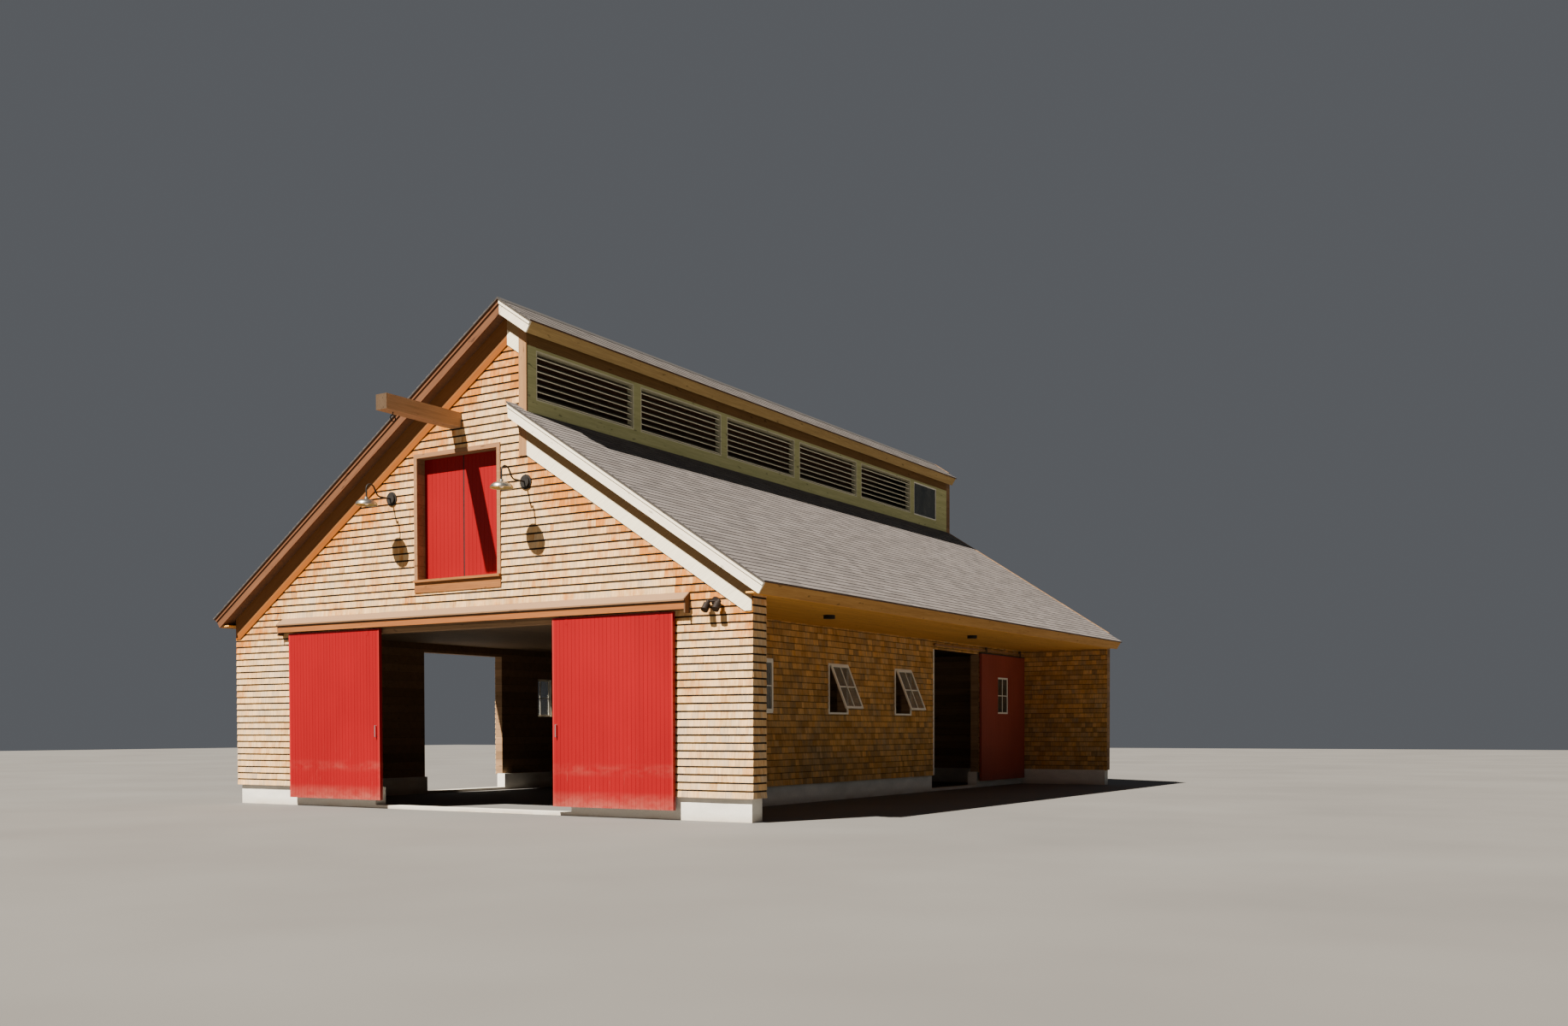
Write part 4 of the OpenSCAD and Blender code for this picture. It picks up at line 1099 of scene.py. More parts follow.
@dataclass
class Boards:
    """Boards side by side on a face, each a flat strip with bevelled arrises.

    A board's section runs (left, 0), (left + bevel, proud), (right - bevel, proud), (right, 0), and is
    carried from the low to the high edge.
    """

    face: Face
    pitch: float
    proud: float
    gap: float = 0.0012
    bevel: float = 0.0012
    seed: int = 5

    def build(self, piece: Piece, zones: list[Rect]) -> None:
        """Makes the boards of every zone as one piece.

        Args:
            piece: what they become.
            zones: (u low, u high, v low, v high) of each field of boards.
        """
        strips = []
        for low_u, high_u, low_v, high_v in zones:
            count = max(1, round((high_u - low_u) / self.pitch))
            edges = np.linspace(low_u, high_u, count + 1)
            ends = np.tile([low_v, high_v], (count, 1))
            strips.append(np.column_stack([edges[:-1], edges[1:], ends]))
        left, right, low, high = np.concatenate(strips).T
        left, right = left + self.gap / 2, right - self.gap / 2
        section_u = np.stack([left, left + self.bevel, right - self.bevel, right], axis=1)
        depth = np.array([[0.0, self.proud, self.proud, 0.0]])
        points = np.concatenate([self.face.place(section_u, v[:, None], depth) for v in (low, high)], axis=1)
        first = np.arange(len(points))[:, None] * points.shape[1]
        sides = [first + [n, n + 1, n + 5, n + 4] for n in range(3)]
        ends = [first + [3, 2, 1, 0], first + [4, 5, 6, 7]]
        draw = np.random.default_rng(self.seed)
        marks = np.repeat(draw.random((len(points), 1, 4)), points.shape[1], axis=1)
        piece.make(points, np.concatenate(sides + ends).tolist(), marks)


@dataclass
class WindowRow:
    """The three windows of one long wall: an open casing, a top-hung sash and its glass."""

    left: bool
    first_left: float = 9.34
    first_right: float = 3.96
    bay: float = 3.04
    count: int = 3
    width: float = 0.76
    foot: float = 1.855
    height: float = 0.98
    casing_w: float = 0.04
    casing_t: float = 0.03
    sash_rail: float = 0.045
    sash_t: float = 0.035
    sash_gap: float = 0.006
    open_angle: float = 22.0
    bar: float = 0.022
    sink: float = 0.004

    def __post_init__(self) -> None:
        low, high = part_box("left_wall_rear" if self.left else "side_wall_front")
        self.wall_x, self.out = (low.x, -1) if self.left else (high.x, 1)
        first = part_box("front_gable_wall")[0].y + (self.first_left if self.left else self.first_right)
        self.middles = [first + n * self.bay for n in range(self.count)]

    def holes(self) -> list[Rect]:
        """The casings' rectangles on the wall's face."""
        width, foot = self.width + 2 * self.casing_w, self.foot - self.casing_w
        head = foot + (self.height + 2 * self.casing_w)
        return [(*about(self.out * y, width / 2), foot, head) for y in self.middles]

    def bars(self, piece: Piece) -> None:
        """One upright and one level bar in each sash; the first sash is shut, and the others stand open.

        A point at s along the sash, h below its pivot and e out of its back lies out of the wall by
        casing + e cos a + h sin a, and below the window's top by h cos a - e sin a.

        Args:
            piece: what they become.
        """
        half = self.width / 2 - self.sash_gap - self.sash_rail + self.sink
        low, high = self.height - self.sash_rail + self.sink, self.sash_rail - self.sink
        depth, cross = (self.sink, self.sash_t - self.sink), about((low + high) / 2, self.bar / 2)
        made = []
        for number, y in enumerate(self.middles):
            angle = math.radians(self.open_angle) if number else 0.0
            for across, drop in ((about(0.0, self.bar / 2), (low, high)), ((-half, half), cross[::-1])):
                s, e, h = box_corners(across, depth, drop).T
                out = self.casing_t + e * math.cos(angle) + h * math.sin(angle)
                z = self.foot + self.height - h * math.cos(angle) + e * math.sin(angle)
                made.append(np.stack([self.wall_x + self.out * out, y - self.out * s, z], axis=1))
        piece.boxes(*made)


@dataclass
class Walls:
    """The shingled walls, with the courses cut round doors, windows, casings and the beam."""

    finishes: Finishes
    low_exposure: float = 0.129
    high_exposure: float = 0.136
    change_z: float = 3.83
    first_butt: float = 0.385
    narrow: float = 0.08
    wide: float = 0.26
    gap: float = 0.0016
    butt: float = 0.015
    tip: float = 0.002
    ragged: float = 0.001
    corner_lap: float = 0.012
    header_lap: float = 0.02
    soffit_lap: float = 0.01
    limit_lap: float = 0.02
    roof_t: float = 0.25
    step_w: float = 0.001
    board_gap: float = 0.002
    return_t: float = 0.22
    casing_w: float = 0.05
    casing_t: float = 0.014
    seed: int = 11

    def __post_init__(self) -> None:
        low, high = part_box("front_gable_wall")
        self.left_x, self.front_y = low.x, low.y
        self.right_x, self.inner_y, self.top_z = high
        self.side_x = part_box("side_wall_front")[1].x
        self.rear_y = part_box("rear_party_wall")[0].y
        self.soffit_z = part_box("porch_ceiling")[0].z
        self.return_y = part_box("front_wall_right")[1].y

    def courses(self, face: Face, start: float, end: float, top: float, seed: int) -> Courses:
        """Shingle courses for one face.

        The butt lines stand equal steps of one exposure apart up to the change, and of the other above it.

        Args:
            face: the wall's face.
            start: the lower end along the face.
            end: the upper end.
            top: the height of its top.
            seed: number that settles the random widths.

        Returns:
            The courses.
        """
        low = np.arange(self.first_butt, self.change_z, self.low_exposure)
        high = np.arange(low[-1] + self.high_exposure, top + self.high_exposure, self.high_exposure)
        return Courses(face, start, end, np.concatenate([low, high]), self.narrow, self.wide, self.gap,
                       self.butt, self.tip, self.ragged, seed)

    def top_line(self, step_x: float) -> tuple[list[float], list[float]]:
        """The underside of the three slopes: places across the front and the heights there.

        Args:
            step_x: where the upper slope ends over the lower one.

        Returns:
            The places and the heights.
        """
        left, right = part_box("left_roof"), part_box("lower_right_roof")
        ridge_x, ridge_z, eave_x = left[1].x, left[1].z, -left[0].x
        main = (ridge_z - EAVE_Z) / (ridge_x + eave_x)
        low = (right[1].z - EAVE_Z) / (eave_x - right[0].x)
        main_drop, low_drop = (self.roof_t * math.hypot(1.0, pitch) for pitch in (main, low))
        start, end = self.left_x - self.limit_lap, self.right_x + self.limit_lap
        heights = [EAVE_Z + (eave_x + start) * main - main_drop, ridge_z - main_drop,
                   ridge_z - (step_x - ridge_x) * main - main_drop,
                   EAVE_Z + (eave_x - step_x) * low - low_drop, EAVE_Z + (eave_x - end) * low - low_drop]
        return [start, ridge_x, step_x, step_x + self.step_w, end], heights

    def front(self) -> None:
        """The front wall, cut round the doorway, the loft casing, the beam and the corner board.

        The doorway reaches as far right of the track's middle as it reaches left.
        """
        face = wall_face(self.front_y, FRONT)
        step_x, jamb_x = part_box("corner_board")[1].x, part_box("front_wall_left")[1].x
        track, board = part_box("front_track"), node_rect(face, "corner_board")
        door = (jamb_x, track[0].x + track[1].x - jamb_x, 0.0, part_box("hood_fascia")[0].z + self.header_lap)
        holes = [door, node_rect(face, "loft_casing"), node_rect(face, "hoist_beam", self.board_gap),
                 (board[0], step_x + self.board_gap, *board[2:])]
        start, end = self.left_x - self.corner_lap, self.right_x + self.corner_lap
        zones = zones_round((start, end, 0.0, self.top_z), holes)
        piece = Piece("front_shingles", self.finishes.wall_shingles, "shingle")
        self.courses(face, start, end, self.top_z, self.seed).build(piece, zones, self.top_line(step_x))

    def sides(self) -> None:
        """The left wall, the porch wall and the faces round the porch's two ends."""
        sunny = self.finishes.wall_shingles, "shingle"
        # The porch's faces take the copy of the shingles with painted shade and bounce light
        shady = self.finishes.porch_shade_shingles, "shade_shingle"
        left_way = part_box("left_wall_front")[1].y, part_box("left_wall_rear")[0].y
        side_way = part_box("side_wall_front")[1].y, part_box("side_wall_rear")[0].y
        left_holes = [(-left_way[1], -left_way[0], 0.0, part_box("left_wall_header")[0].z),
                      *WindowRow(True).holes()]
        side_holes = [(side_way[0] - self.casing_w, side_way[1], 0.0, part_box("side_wall_header")[0].z),
                      *WindowRow(False).holes()]
        return_x = self.right_x - self.return_t
        rows = [("left", self.left_x, LEFT, (self.front_y, self.rear_y), sunny, left_holes, self.soffit_lap),
                ("porch", self.side_x, RIGHT, (self.inner_y, self.rear_y), shady, side_holes, 0.0),
                ("return", self.right_x, RIGHT, (self.front_y, self.return_y), sunny, [], 0.0),
                ("return_end", self.return_y, BACK, (return_x, self.right_x), shady, [], 0.0),
                ("return_inner", return_x, LEFT, (self.inner_y, self.return_y), shady, [], 0.0),
                ("porch_front", self.inner_y, BACK, (self.side_x, return_x), shady, [], 0.0),
                ("porch_rear", self.rear_y, FRONT, (self.side_x, self.right_x), shady, [], 0.0)]
        for seed, (name, place, out, reach, clad, holes, lap) in enumerate(rows, self.seed + 1):
            face, top = wall_face(place, out), self.soffit_z + lap
            low, high = sorted(sum(face.along) * end for end in reach)
            zones = zones_round((low, high, 0.0, top), holes)
            self.courses(face, low, high, top, seed).build(Piece(f"{name}_shingles", *clad), zones)

    def side_casing(self) -> None:
        """A pale board down the side doorway's front jamb."""
        low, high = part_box("side_wall_front")
        board = box_corners((self.side_x, self.side_x + self.casing_t), (high.y - self.casing_w, high.y),
                            (low.z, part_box("side_wall_header")[0].z))
        Piece("side_doorway_casing", self.finishes.cream, "cream").boxes(board)

    def build(self) -> None:
        """Dresses the wall slabs and lays every face's shingles."""
        dress(self.finishes.sheathing, "front_wall_left", "front_wall_right", "front_gable_wall",
              "left_wall_front", "left_wall_header", "left_wall_rear", "side_wall_front", "side_wall_header",
              "side_wall_rear", "rear_party_wall")
        self.front()
        self.sides()
        self.side_casing()


@dataclass
class Roofs:
    """The three roof slopes, laid with asphalt tabs, and the ridge."""

    finishes: Finishes
    exposure: float = 0.143
    narrow: float = 0.16
    wide: float = 0.42
    gap: float = 0.003
    thick: float = 0.007
    tip: float = 0.001
    edge_gap: float = 0.009
    wall_gap: float = 0.03
    seed: int = 21

    def tabs(self, piece: Piece, face: Face, rise: float, seed: int, zones: list[Rect]) -> None:
        """Tabs on one slope.

        Args:
            piece: what they become.
            face: the slope's top, from one end of its eave.
            rise: its length up the slope.
            seed: number that settles the random widths.
            zones: what is covered.
        """
        lines = np.concatenate([[self.edge_gap], np.arange(self.exposure, rise, self.exposure), [rise]])
        courses = Courses(face, 0.0, max(zone[1] for zone in zones), lines, self.narrow, self.wide, self.gap,
                          self.thick, self.tip, 0.0, seed, lap=0.0)
        courses.build(piece, zones)

    def build(self) -> None:
        """Dresses the slabs and lays the tabs of each slope from its eave."""
        found = self.finishes
        # The ridge cap takes the darker tabs with painted shade
        dress(found.shaded_upper_roofing, "ridge_cap")
        dress(found.roof_slab, "left_roof", "upper_right_roof", "lower_right_roof")
        left, low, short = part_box("left_roof"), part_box("lower_right_roof"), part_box("upper_right_roof")
        y0, y1, ridge_x, ridge_z = left[0].y, left[1].y, left[1].x, left[1].z
        run, fall, length = ridge_x - left[0].x, ridge_z - EAVE_Z, y1 - y0
        size = math.hypot(run, fall)
        face = Face((left[0].x, y1, EAVE_Z), FRONT, (run / size, 0.0, fall / size))
        self.tabs(Piece("left_roof_tabs", found.roofing, "roofing"), face, size, self.seed,
                  [(0.0, length, 0.0, size)])
        reach = short[1].x - ridge_x
        rise = reach / (run / size)
        face = Face((short[1].x, y0, ridge_z - reach * fall / run), BACK, (-run / size, 0.0, fall / size))
        self.tabs(Piece("upper_right_roof_tabs", found.shaded_upper_roofing, "roofing"), face, rise, self.seed + 1,
                  [(0.0, length, 0.0, rise)])
        run, fall = low[1].x - low[0].x, low[1].z - EAVE_Z
        size = math.hypot(run, fall)
        face = Face((low[1].x, y0, EAVE_Z), BACK, (-run / size, 0.0, fall / size))
        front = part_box("front_gable_wall")[0].y - y0 - self.wall_gap
        to_wall = (low[1].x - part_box("clerestory_frame")[1].x) / run * size
        self.tabs(Piece("lower_right_roof_tabs", found.roofing, "roofing"), face, size, self.seed + 2,
                  [(0.0, front, 0.0, size), (front, length, 0.0, to_wall)])


@dataclass
class Trim:
    """Rakes, friezes, fascias, soffits and corner boards, which keep their solids."""

    finishes: Finishes
    board: float = 0.14
    proud: float = 0.004
    left_gap: float = 0.02
    right_gap: float = 0.05
    front_gap: float = 0.02

    def build(self) -> None:
        """Dresses the boards and lays the ceiling boards under the porch and the left eave."""
        found = self.finishes
        dress(found.main_rake, "upper_rake")
        dress(found.low_rake, "lower_rake")
        dress(found.frieze, "frieze_boards")
        dress(found.corner, "corner_board")
        dress(found.fascia, "eave_boards")
        dress(found.ceiling, "left_soffit", "porch_ceiling")
        for node, start in (("left_soffit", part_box("left_soffit")[0].y),
                            ("porch_ceiling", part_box("front_gable_wall")[1].y + self.front_gap)):
            low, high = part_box(node)
            boards = Boards(Face((0.0, 0.0, low.z), LEFT, BACK), self.board, self.proud)
            zone = (self.right_gap - high.x, -self.left_gap - low.x, start, high.y)
            boards.build(Piece(f"{node}_boards", found.ceiling, "soffit"), [zone])


@dataclass
class Clerestory:
    """The band of louvres above the lower slope."""

    finishes: Finishes
    banks: int = 5
    post: float = 0.22
    foot: float = 7.336
    head: float = 8.219
    rail: float = 0.024
    slats: int = 7
    slat_t: float = 0.018
    slat_d: float = 0.1
    slat_tilt: float = 38.0
    sash_rail: float = 0.032
    sash_deep: float = 0.043
    sash_sink: float = 0.008
    pane_t: float = 0.006
    corner_proud: float = 0.008
    corner_lap: float = 0.06
    corner_gap: float = 0.002
    sink: float = 0.004

    def bays(self) -> list[Span]:
        """Where each bank starts and ends along the wall: even steps, less one post."""
        low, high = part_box("clerestory_louvres")
        step = (high.y - low.y + self.post) / self.banks
        return [(low.y + n * step, low.y + (n + 1) * step - self.post) for n in range(self.banks)]

    def band(self) -> None:
        """The frame round the banks and the end window, with its top cut to the roof's slope."""
        low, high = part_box("clerestory_frame")
        top = high.z - (high.x - low.x) * math.tan(math.radians(GRAIN_ANGLE[Grain.MAIN_SLOPE]))
        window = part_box("clerestory_window")
        holes = [(*ends, self.foot, self.head) for ends in (*self.bays(), (window[0].y, window[1].y))]
        strips = []
        for y0, y1, z0, z1 in zones_round((low.y, high.y, low.z, top), holes):
            strip = box_corners((low.x, high.x), (y0, y1), (z0, z1))
            if z1 == top:
                strip[[4, 7], 2] = high.z
            strips.append(strip)
        band = Piece("clerestory_band", self.finishes.louvre, "louvre").boxes(*strips)
        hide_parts("clerestory_frame")

    def ring(self, x: Span, y: Span, rail: float) -> list[np.ndarray]:
        """Four bars inside the edges of an opening, between its foot and its head."""
        inner = self.foot + rail, self.head - rail
        return [box_corners(x, y, (self.foot, inner[0])), box_corners(x, y, (inner[1], self.head)),
                box_corners(x, (y[0], y[0] + rail), inner), box_corners(x, (y[1] - rail, y[1]), inner)]

    def end_window(self) -> None:
        """A pale sash round a dark pane in place of the end window."""
        found, rail = self.finishes, self.sash_rail
        low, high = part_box("clerestory_window")
        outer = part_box("clerestory_frame")[1].x
        x = (outer - self.sash_deep, outer - self.sash_sink)
        sash = Piece("clerestory_sash", found.cream, "cream").boxes(*self.ring(x, (low.y, high.y), rail))
        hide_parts("clerestory_window")
        pane = box_corners(about((x[0] + x[1]) / 2, self.pane_t / 2), (low.y + rail, high.y - rail),
                           (self.foot + rail, self.head - rail))
        Piece("clerestory_pane", found.dark_pane, "glass").boxes(pane)

    def bank_pieces(self) -> None:
        """The rails and slats of every bank.

        A point at u across a slat and w above its middle lies at x + u cos a + w sin a and
        z - u sin a + w cos a, where (x, z) is the slat's place and a its tilt, so its outer edge hangs lower.
        """
        low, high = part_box("clerestory_louvres")
        middle, angle = (low.x + high.x) / 2, math.radians(self.slat_tilt)
        cos, sin = math.cos(angle), math.sin(angle)
        foot, head = self.foot + self.rail, self.head - self.rail
        pitch = (head - foot) / self.slats
        rails, slats = [], []
        for y0, y1 in self.bays():
            rails += self.ring((low.x, high.x), (y0, y1), self.rail)
            u, y, w = box_corners(about(0.0, self.slat_d / 2), (y0 + self.rail, y1 - self.rail),
                                  about(0.0, self.slat_t / 2)).T
            for n in range(self.slats):
                z = foot + pitch * (n + 0.5)
                slats.append(np.stack([middle + u * cos + w * sin, y, z - u * sin + w * cos], axis=1))
        Piece("clerestory_rails", self.finishes.rail, "louvre").boxes(*rails)
        grille = Piece("clerestory_slats", self.finishes.slats, "louvre").boxes(*slats)
        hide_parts("clerestory_louvres")

    def build(self) -> None:
        """Makes the band, its banks and its end window, and covers the gable wall's end with a board."""
        found = self.finishes
        dress(found.louvre, "clerestory_frame", "clerestory_window")
        dress(found.slats, "clerestory_louvres")
        self.band()
        self.bank_pieces()
        self.end_window()
        wall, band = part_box("front_gable_wall"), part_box("clerestory_frame")
        corner = box_corners((band[1].x - self.sink, band[1].x + self.corner_proud),
                             (wall[0].y + self.corner_gap, wall[1].y),
                             (band[0].z - self.corner_lap, band[1].z - self.corner_lap))
        Piece("clerestory_corner", found.louvre, "louvre").boxes(corner)


@dataclass
class Leaves:
    """The sliding leaves: upright boards on the outer faces, worn edges, and the hood over them."""

    finishes: Finishes
    board: float = 0.086
    proud: float = 0.0035
    strap: float = 0.006
    top_gap: float = 0.03
    side_rise: float = 0.01
    edge_w: float = 0.03
    edge_proud: float = 0.0043
    edge_bevel: float = 0.001
    # Painted shadow: height and standout of the dark strip under the hood's top board
    lip_shadow_h: float = 0.028
    lip_shadow_proud: float = 0.004

    def faced(self, node: str, piece: Piece, out: Way, top: float, holes: list[Rect]) -> None:
        """Boards on the outer face of a leaf, which lies a strap's thickness inside its box.

        Args:
            node: the leaf's CAD node.
            piece: what the boards become.
            out: the way the face looks.
            top: the height of the boards' top.
            holes: what is left out, as rectangles on the face.
        """
        low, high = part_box(node)
        face = wall_face(high.x - self.strap if out == RIGHT else low.y + self.strap, out)
        start, end = node_rect(face, node)[:2]
        zones = zones_round((start, end, low.z, top), holes)
        Boards(face, self.board, self.proud).build(piece, zones)

    def edges(self, node: str, body: str, top: float) -> None:
        """Narrow worn strips down both edges of a front leaf.

        Args:
            node: the leaf's CAD node.
            body: the body it rides on.
            top: the height of their top.
        """
        low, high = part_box(node)
        zones = [(low.x, low.x + self.edge_w, low.z, top), (high.x - self.edge_w, high.x, low.z, top)]
        face = wall_face(low.y + self.strap, FRONT)
        strips = Boards(face, self.edge_w, self.edge_proud, 0.0, self.edge_bevel)
        strips.build(Piece(f"front_leaf_edges_{body}", self.finishes.worn_red, "red", body), zones)

    def build(self) -> None:
        """Faces each leaf with boards and dresses the hardware."""
        found = self.finishes
        dress(found.red, "front_door_left", "front_door_right")
        dress(found.dark_red, "side_door")
        dress(found.galvanised, "front_pull_left", "front_pull_right")
        dress(found.track_steel, "front_track")
        dress(found.brown_steel, "side_track")
        dress(found.hood_top, "door_hood")
        dress(found.hood_face, "hood_fascia")
        dress(found.hood_end, "hood_ends")
        low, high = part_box("hood_fascia")
        # Painted shadow: a dark strip over the fascia's top, where the hood's top board casts its shadow
        lip_shadow = box_corners((low.x, high.x), (low.y - self.lip_shadow_proud, low.y + self.proud),
                           (high.z - self.lip_shadow_h, high.z))
        Piece("hood_lip_shadow", found.hood_end, "timber").boxes(lip_shadow)
        top = low.z - self.top_gap
        fronts = (("front_door_left", "left_leaf"), ("front_door_right", "right_leaf"))
        for node, body in fronts:
            self.faced(node, Piece(f"{body}_boards", found.red, "red", body), FRONT, top, [])
        for node, body in fronts:
            self.edges(node, body, top)
        hole = node_rect(wall_face(0.0, RIGHT), "side_door_window")
        side = Piece("side_leaf_boards", found.dark_red, "dark_red", "side_leaf")
        self.faced("side_door", side, RIGHT, top + self.side_rise, [hole])


@dataclass
class Windows:
    """The windows of both long walls and of the side leaf."""

    finishes: Finishes
    bar: float = 0.022
    bar_back: float = 0.02
    bar_sink: float = 0.002
    pane_back: float = 0.016
    pane_t: float = 0.004
    frame_w: float = 0.04
    lap: float = 0.004

    def leaf_window(self) -> None:
        """Glazes the side leaf's window: one pane behind an upright and a level bar."""
        low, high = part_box("side_door_window")
        middle = Vector((low + high) / 2)
        half, inner = self.bar / 2, self.frame_w - self.lap
        y, z = (low.y + inner, high.y - inner), (low.z + inner, high.z - inner)
        x = (high.x - self.bar_back, high.x - self.bar_sink)
        bars = [box_corners(x, about(middle.y, half), z), box_corners(x, y, about(middle.z, half))]
        Piece("side_window_bars", self.finishes.cream, "cream", "side_leaf").boxes(*bars)
        back = high.x - self.pane_back
        pane = box_corners((back, back + self.pane_t), y, z)
        Piece("side_window_pane", self.finishes.dark_pane, "glass", "side_leaf").boxes(pane)

    def build(self) -> None:
        """Dresses the frames, sashes and glass, and adds the bars."""
        found = self.finishes
        dress(found.cream, "window_frames", "window_sashes", "side_door_window")
        dress(found.glass, "window_glass")
        self.leaf_window()
        WindowRow(True).bars(Piece("left_window_bars", found.cream, "cream"))
        WindowRow(False).bars(Piece("porch_window_bars", found.cream, "cream"))


@dataclass
class Loft:
    """The loft doorway: its casing, two boarded leaves, the hoist beam and hook."""

    finishes: Finishes
    board: float = 0.1
    proud: float = 0.004
    # Painted shadow: the gap the boards leave where the leaves meet, filled by a black strip, and its
    # standout
    seam: float = 0.014
    gap_shadow_proud: float = 0.001
    end_gap: float = 0.002

    def build(self) -> None:
        """Dresses the doorway and faces its leaves with boards, up to a black strip of painted shadow where
        they meet.
        """
        found = self.finishes
        dress(found.casing, "loft_casing")
        dress(found.loft_red, "loft_door_left", "loft_door_right")
        dress(found.beam, "hoist_beam")
        dress(found.dark_steel, "hoist_hook")
        dress(found.floor, "loft_floor")
        for side, seams in (("left", (0.0, self.seam)), ("right", (self.seam, 0.0))):
            low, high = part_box(f"loft_door_{side}")
            zone = (low.x + seams[0], high.x - seams[1], low.z + self.end_gap, high.z - self.end_gap)
            boards = Boards(wall_face(low.y, FRONT), self.board, self.proud)
            boards.build(Piece(f"loft_{side}_boards", found.loft_red, "red"), [zone])
        low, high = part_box("loft_door_left")
        # Painted shadow: a black strip for the shadow in the gap between the two leaves
        seam = box_corners(about(high.x, self.seam), (low.y - self.gap_shadow_proud, low.y + self.proud),
                           (low.z, high.z))
        Piece("loft_gap_shadow", found.dark_steel, "black").boxes(seam)


@dataclass
class Lamps:
    """The two gooseneck lamps, the twin floodlight and the porch lights."""

    finishes: Finishes
    bulb_r: float = 0.045
    bulb_z: float = 0.05
    bulb_stretch: float = 1.1
    bulb_steps: int = 13
    bulb_around: int = 28
    bead_r: float = 0.006
    bead_steps: int = 9
    neck_r: float = 0.034
    neck_h: float = 0.05
    sheet_t: float = 0.003
    rim_share: float = 0.86
    dome_steps: int = 12

    def shades(self, centres: list[Way], rim: float, height: float) -> None:
        """Domed shades in place of the plain cones.

        The outer profile falls from the neck as a quarter of an ellipse: at a turn t in 0..90 degrees its
        radius is neck + (rim - neck) * sin t, and its height is dome height * cos t. The lining runs
        inside it, a sheet's thickness away.

        Args:
            centres: the middle of each rim.
            rim: the rim's radius.
            height: height of the neck's top above the rim.
        """
        turn = np.linspace(0.0, np.pi / 2, self.dome_steps)
        outer_r = self.neck_r + (rim - self.bead_r - self.neck_r) * np.sin(turn)
        outer_z = (height - self.neck_h) * np.cos(turn) + self.bead_r
        radius = np.concatenate([outer_r[::-1], [self.neck_r, 0.0]])
        level = np.concatenate([outer_z[::-1], [height, height]])
        Piece("lamp_domes", self.finishes.bright_steel, "steel").lathe(centres, radius, level)
        lining_r = np.concatenate([[0.0], outer_r - self.sheet_t])
        lining_z = np.concatenate([[outer_z[0]], outer_z]) - self.sheet_t
        Piece("lamp_linings", self.finishes.lining, "steel").lathe(centres, lining_r, lining_z)

    def build(self) -> None:
        """Dresses the lamps and adds a dome, a lining, a bulb and a rolled rim to each shade."""
        found = self.finishes
        dress(found.dark_steel, "lamp_arms", "porch_lights")
        dress(found.brown_metal, "floodlight")
        dress(found.bright_steel, "lamp_shades")
        low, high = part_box("lamp_shades")
        rim = (high.y - low.y) / 2
        centres = [(low.x + rim, low.y + rim, low.z), (high.x - rim, low.y + rim, low.z)]
        rim *= self.rim_share
        self.shades(centres, rim, high.z - low.z)
        turn = np.linspace(-np.pi / 2, np.pi / 2, self.bulb_steps)
        ball = self.bulb_r * np.cos(turn)
        ball[[0, -1]] = 0.0
        level = self.bulb_z + self.bulb_r * self.bulb_stretch * np.sin(turn)
        Piece("lamp_bulbs", found.bulb, "cream").lathe(centres, ball, level, self.bulb_around)
        circle = np.linspace(0.0, 2 * np.pi, self.bead_steps)
        radius = rim - self.bead_r + self.bead_r * np.cos(circle)
        level = self.bead_r + self.bead_r * np.sin(circle)
        rims = Piece("lamp_rims", found.bright_steel, "steel").lathe(centres, radius, level)
        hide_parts("lamp_shades")


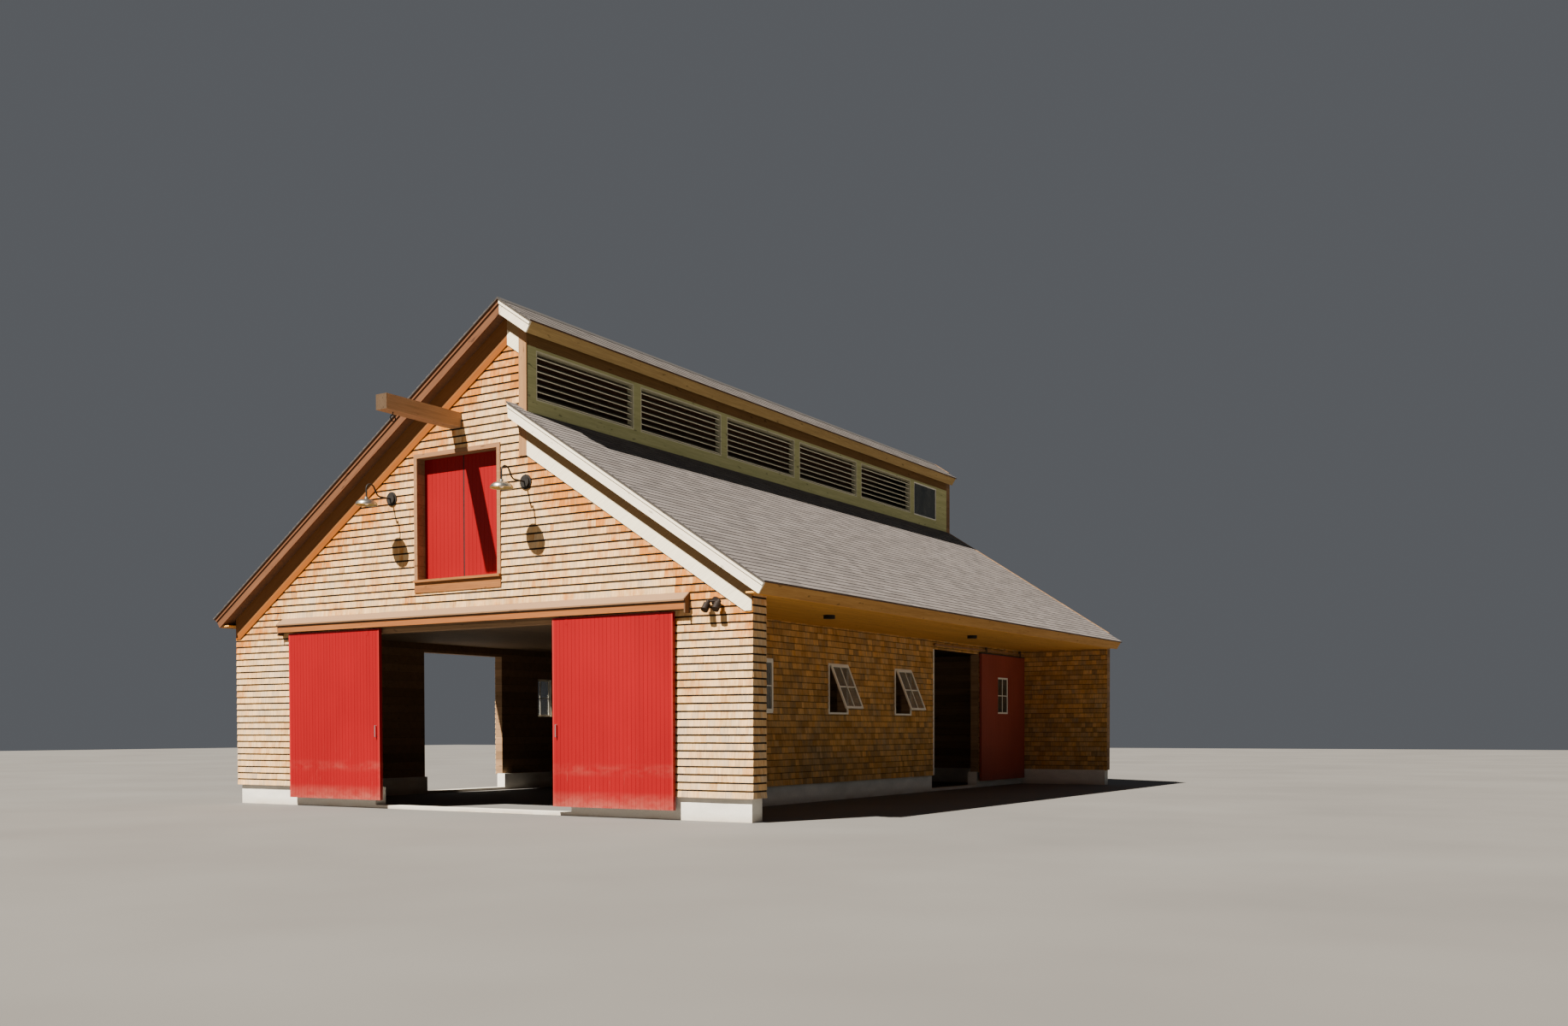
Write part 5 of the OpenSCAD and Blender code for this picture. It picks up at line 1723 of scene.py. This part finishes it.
@dataclass
class Studio:
    """The camera, the pale floor and the light."""

    place: Way = (18.178, -18.508, 1.477)
    tilt: float = 90.0 - 1.116
    roll: float = 0.127
    heading: float = 31.54
    lens: float = 31.52
    sensor: float = 36.0
    shift_y: float = 0.1557
    reach: float = 400.0
    floor_half: float = 90.0
    floor_z: float = -0.002
    floor_dark: Colour = (0.1, 0.094, 0.086)
    floor_light: Colour = (0.122, 0.115, 0.106)
    floor_rough: float = 0.9
    floor_cloud: float = 0.2
    sun_power: float = 18.0
    sun_width: float = 0.8
    sun_colour: Colour = (1.0, 0.94, 0.84)
    sun_way: Way = (0.22, 0.64, -0.87)
    sky_power: float = 0.12
    sky_colour: Colour = (0.86, 0.91, 1.0)

    def camera(self) -> None:
        """Stands the camera where the photograph's lines meet."""
        data = bpy.data.cameras.new("camera")
        data.sensor_width = self.sensor
        data.lens = self.lens
        data.shift_y = self.shift_y
        data.clip_end = self.reach
        camera = bpy.data.objects.new("camera", data)
        camera.location = self.place
        camera.rotation_euler = [math.radians(a) for a in (self.tilt, self.roll, self.heading)]
        bpy.context.collection.objects.link(camera)
        bpy.context.scene.camera = camera

    def floor(self) -> None:
        """Lays a pale floor."""
        sheet = NodeSheet("pale floor")
        cloud = sheet.noise((self.floor_cloud,) * 3, *SOFT)
        colour = sheet.mix(sheet.span(cloud, *MIDDLE), self.floor_dark, self.floor_light)
        material = sheet.finish(colour, self.floor_rough)
        mesh = bpy.data.meshes.new("floor")
        half = self.floor_half
        mesh.from_pydata([(-half, -half, 0.0), (half, -half, 0.0), (half, half, 0.0), (-half, half, 0.0)], [],
                         [(0, 1, 2, 3)])
        mesh.materials.append(material)
        floor = bpy.data.objects.new("floor", mesh)
        floor.location.z = self.floor_z
        bpy.context.collection.objects.link(floor)

    def light(self) -> None:
        """A wide warm sun from the front and left, and a pale sky."""
        data = bpy.data.lights.new("sun", "SUN")
        data.energy = self.sun_power
        data.angle = math.radians(self.sun_width)
        data.color = self.sun_colour
        sun = bpy.data.objects.new("sun", data)
        sun.rotation_mode = "QUATERNION"
        sun.rotation_quaternion = Vector(self.sun_way).to_track_quat("-Z", "Y")
        bpy.context.collection.objects.link(sun)
        world = bpy.data.worlds.new("pale sky")
        world.use_nodes = True
        back = world.node_tree.nodes["Background"]
        back.inputs["Color"].default_value = (*self.sky_colour, 1.0)
        back.inputs["Strength"].default_value = self.sky_power
        bpy.context.scene.world = world

    def build(self) -> None:
        """Sets up the camera, floor and light."""
        self.camera()
        self.floor()
        self.light()


def save_sizes() -> None:
    """Updates the view layer."""
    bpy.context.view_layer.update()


def main() -> None:
    """Builds each sub-assembly in order."""
    logging.basicConfig(level=logging.INFO, format="%(name)s %(message)s")
    Studio().build()
    finishes = Finishes()
    dress(finishes.concrete, "foundation")
    for part in (Walls, Roofs, Trim, Clerestory, Leaves, Windows, Loft, Lamps):
        part(finishes).build()
    save_sizes()


if __name__ == "__main__":
    main()
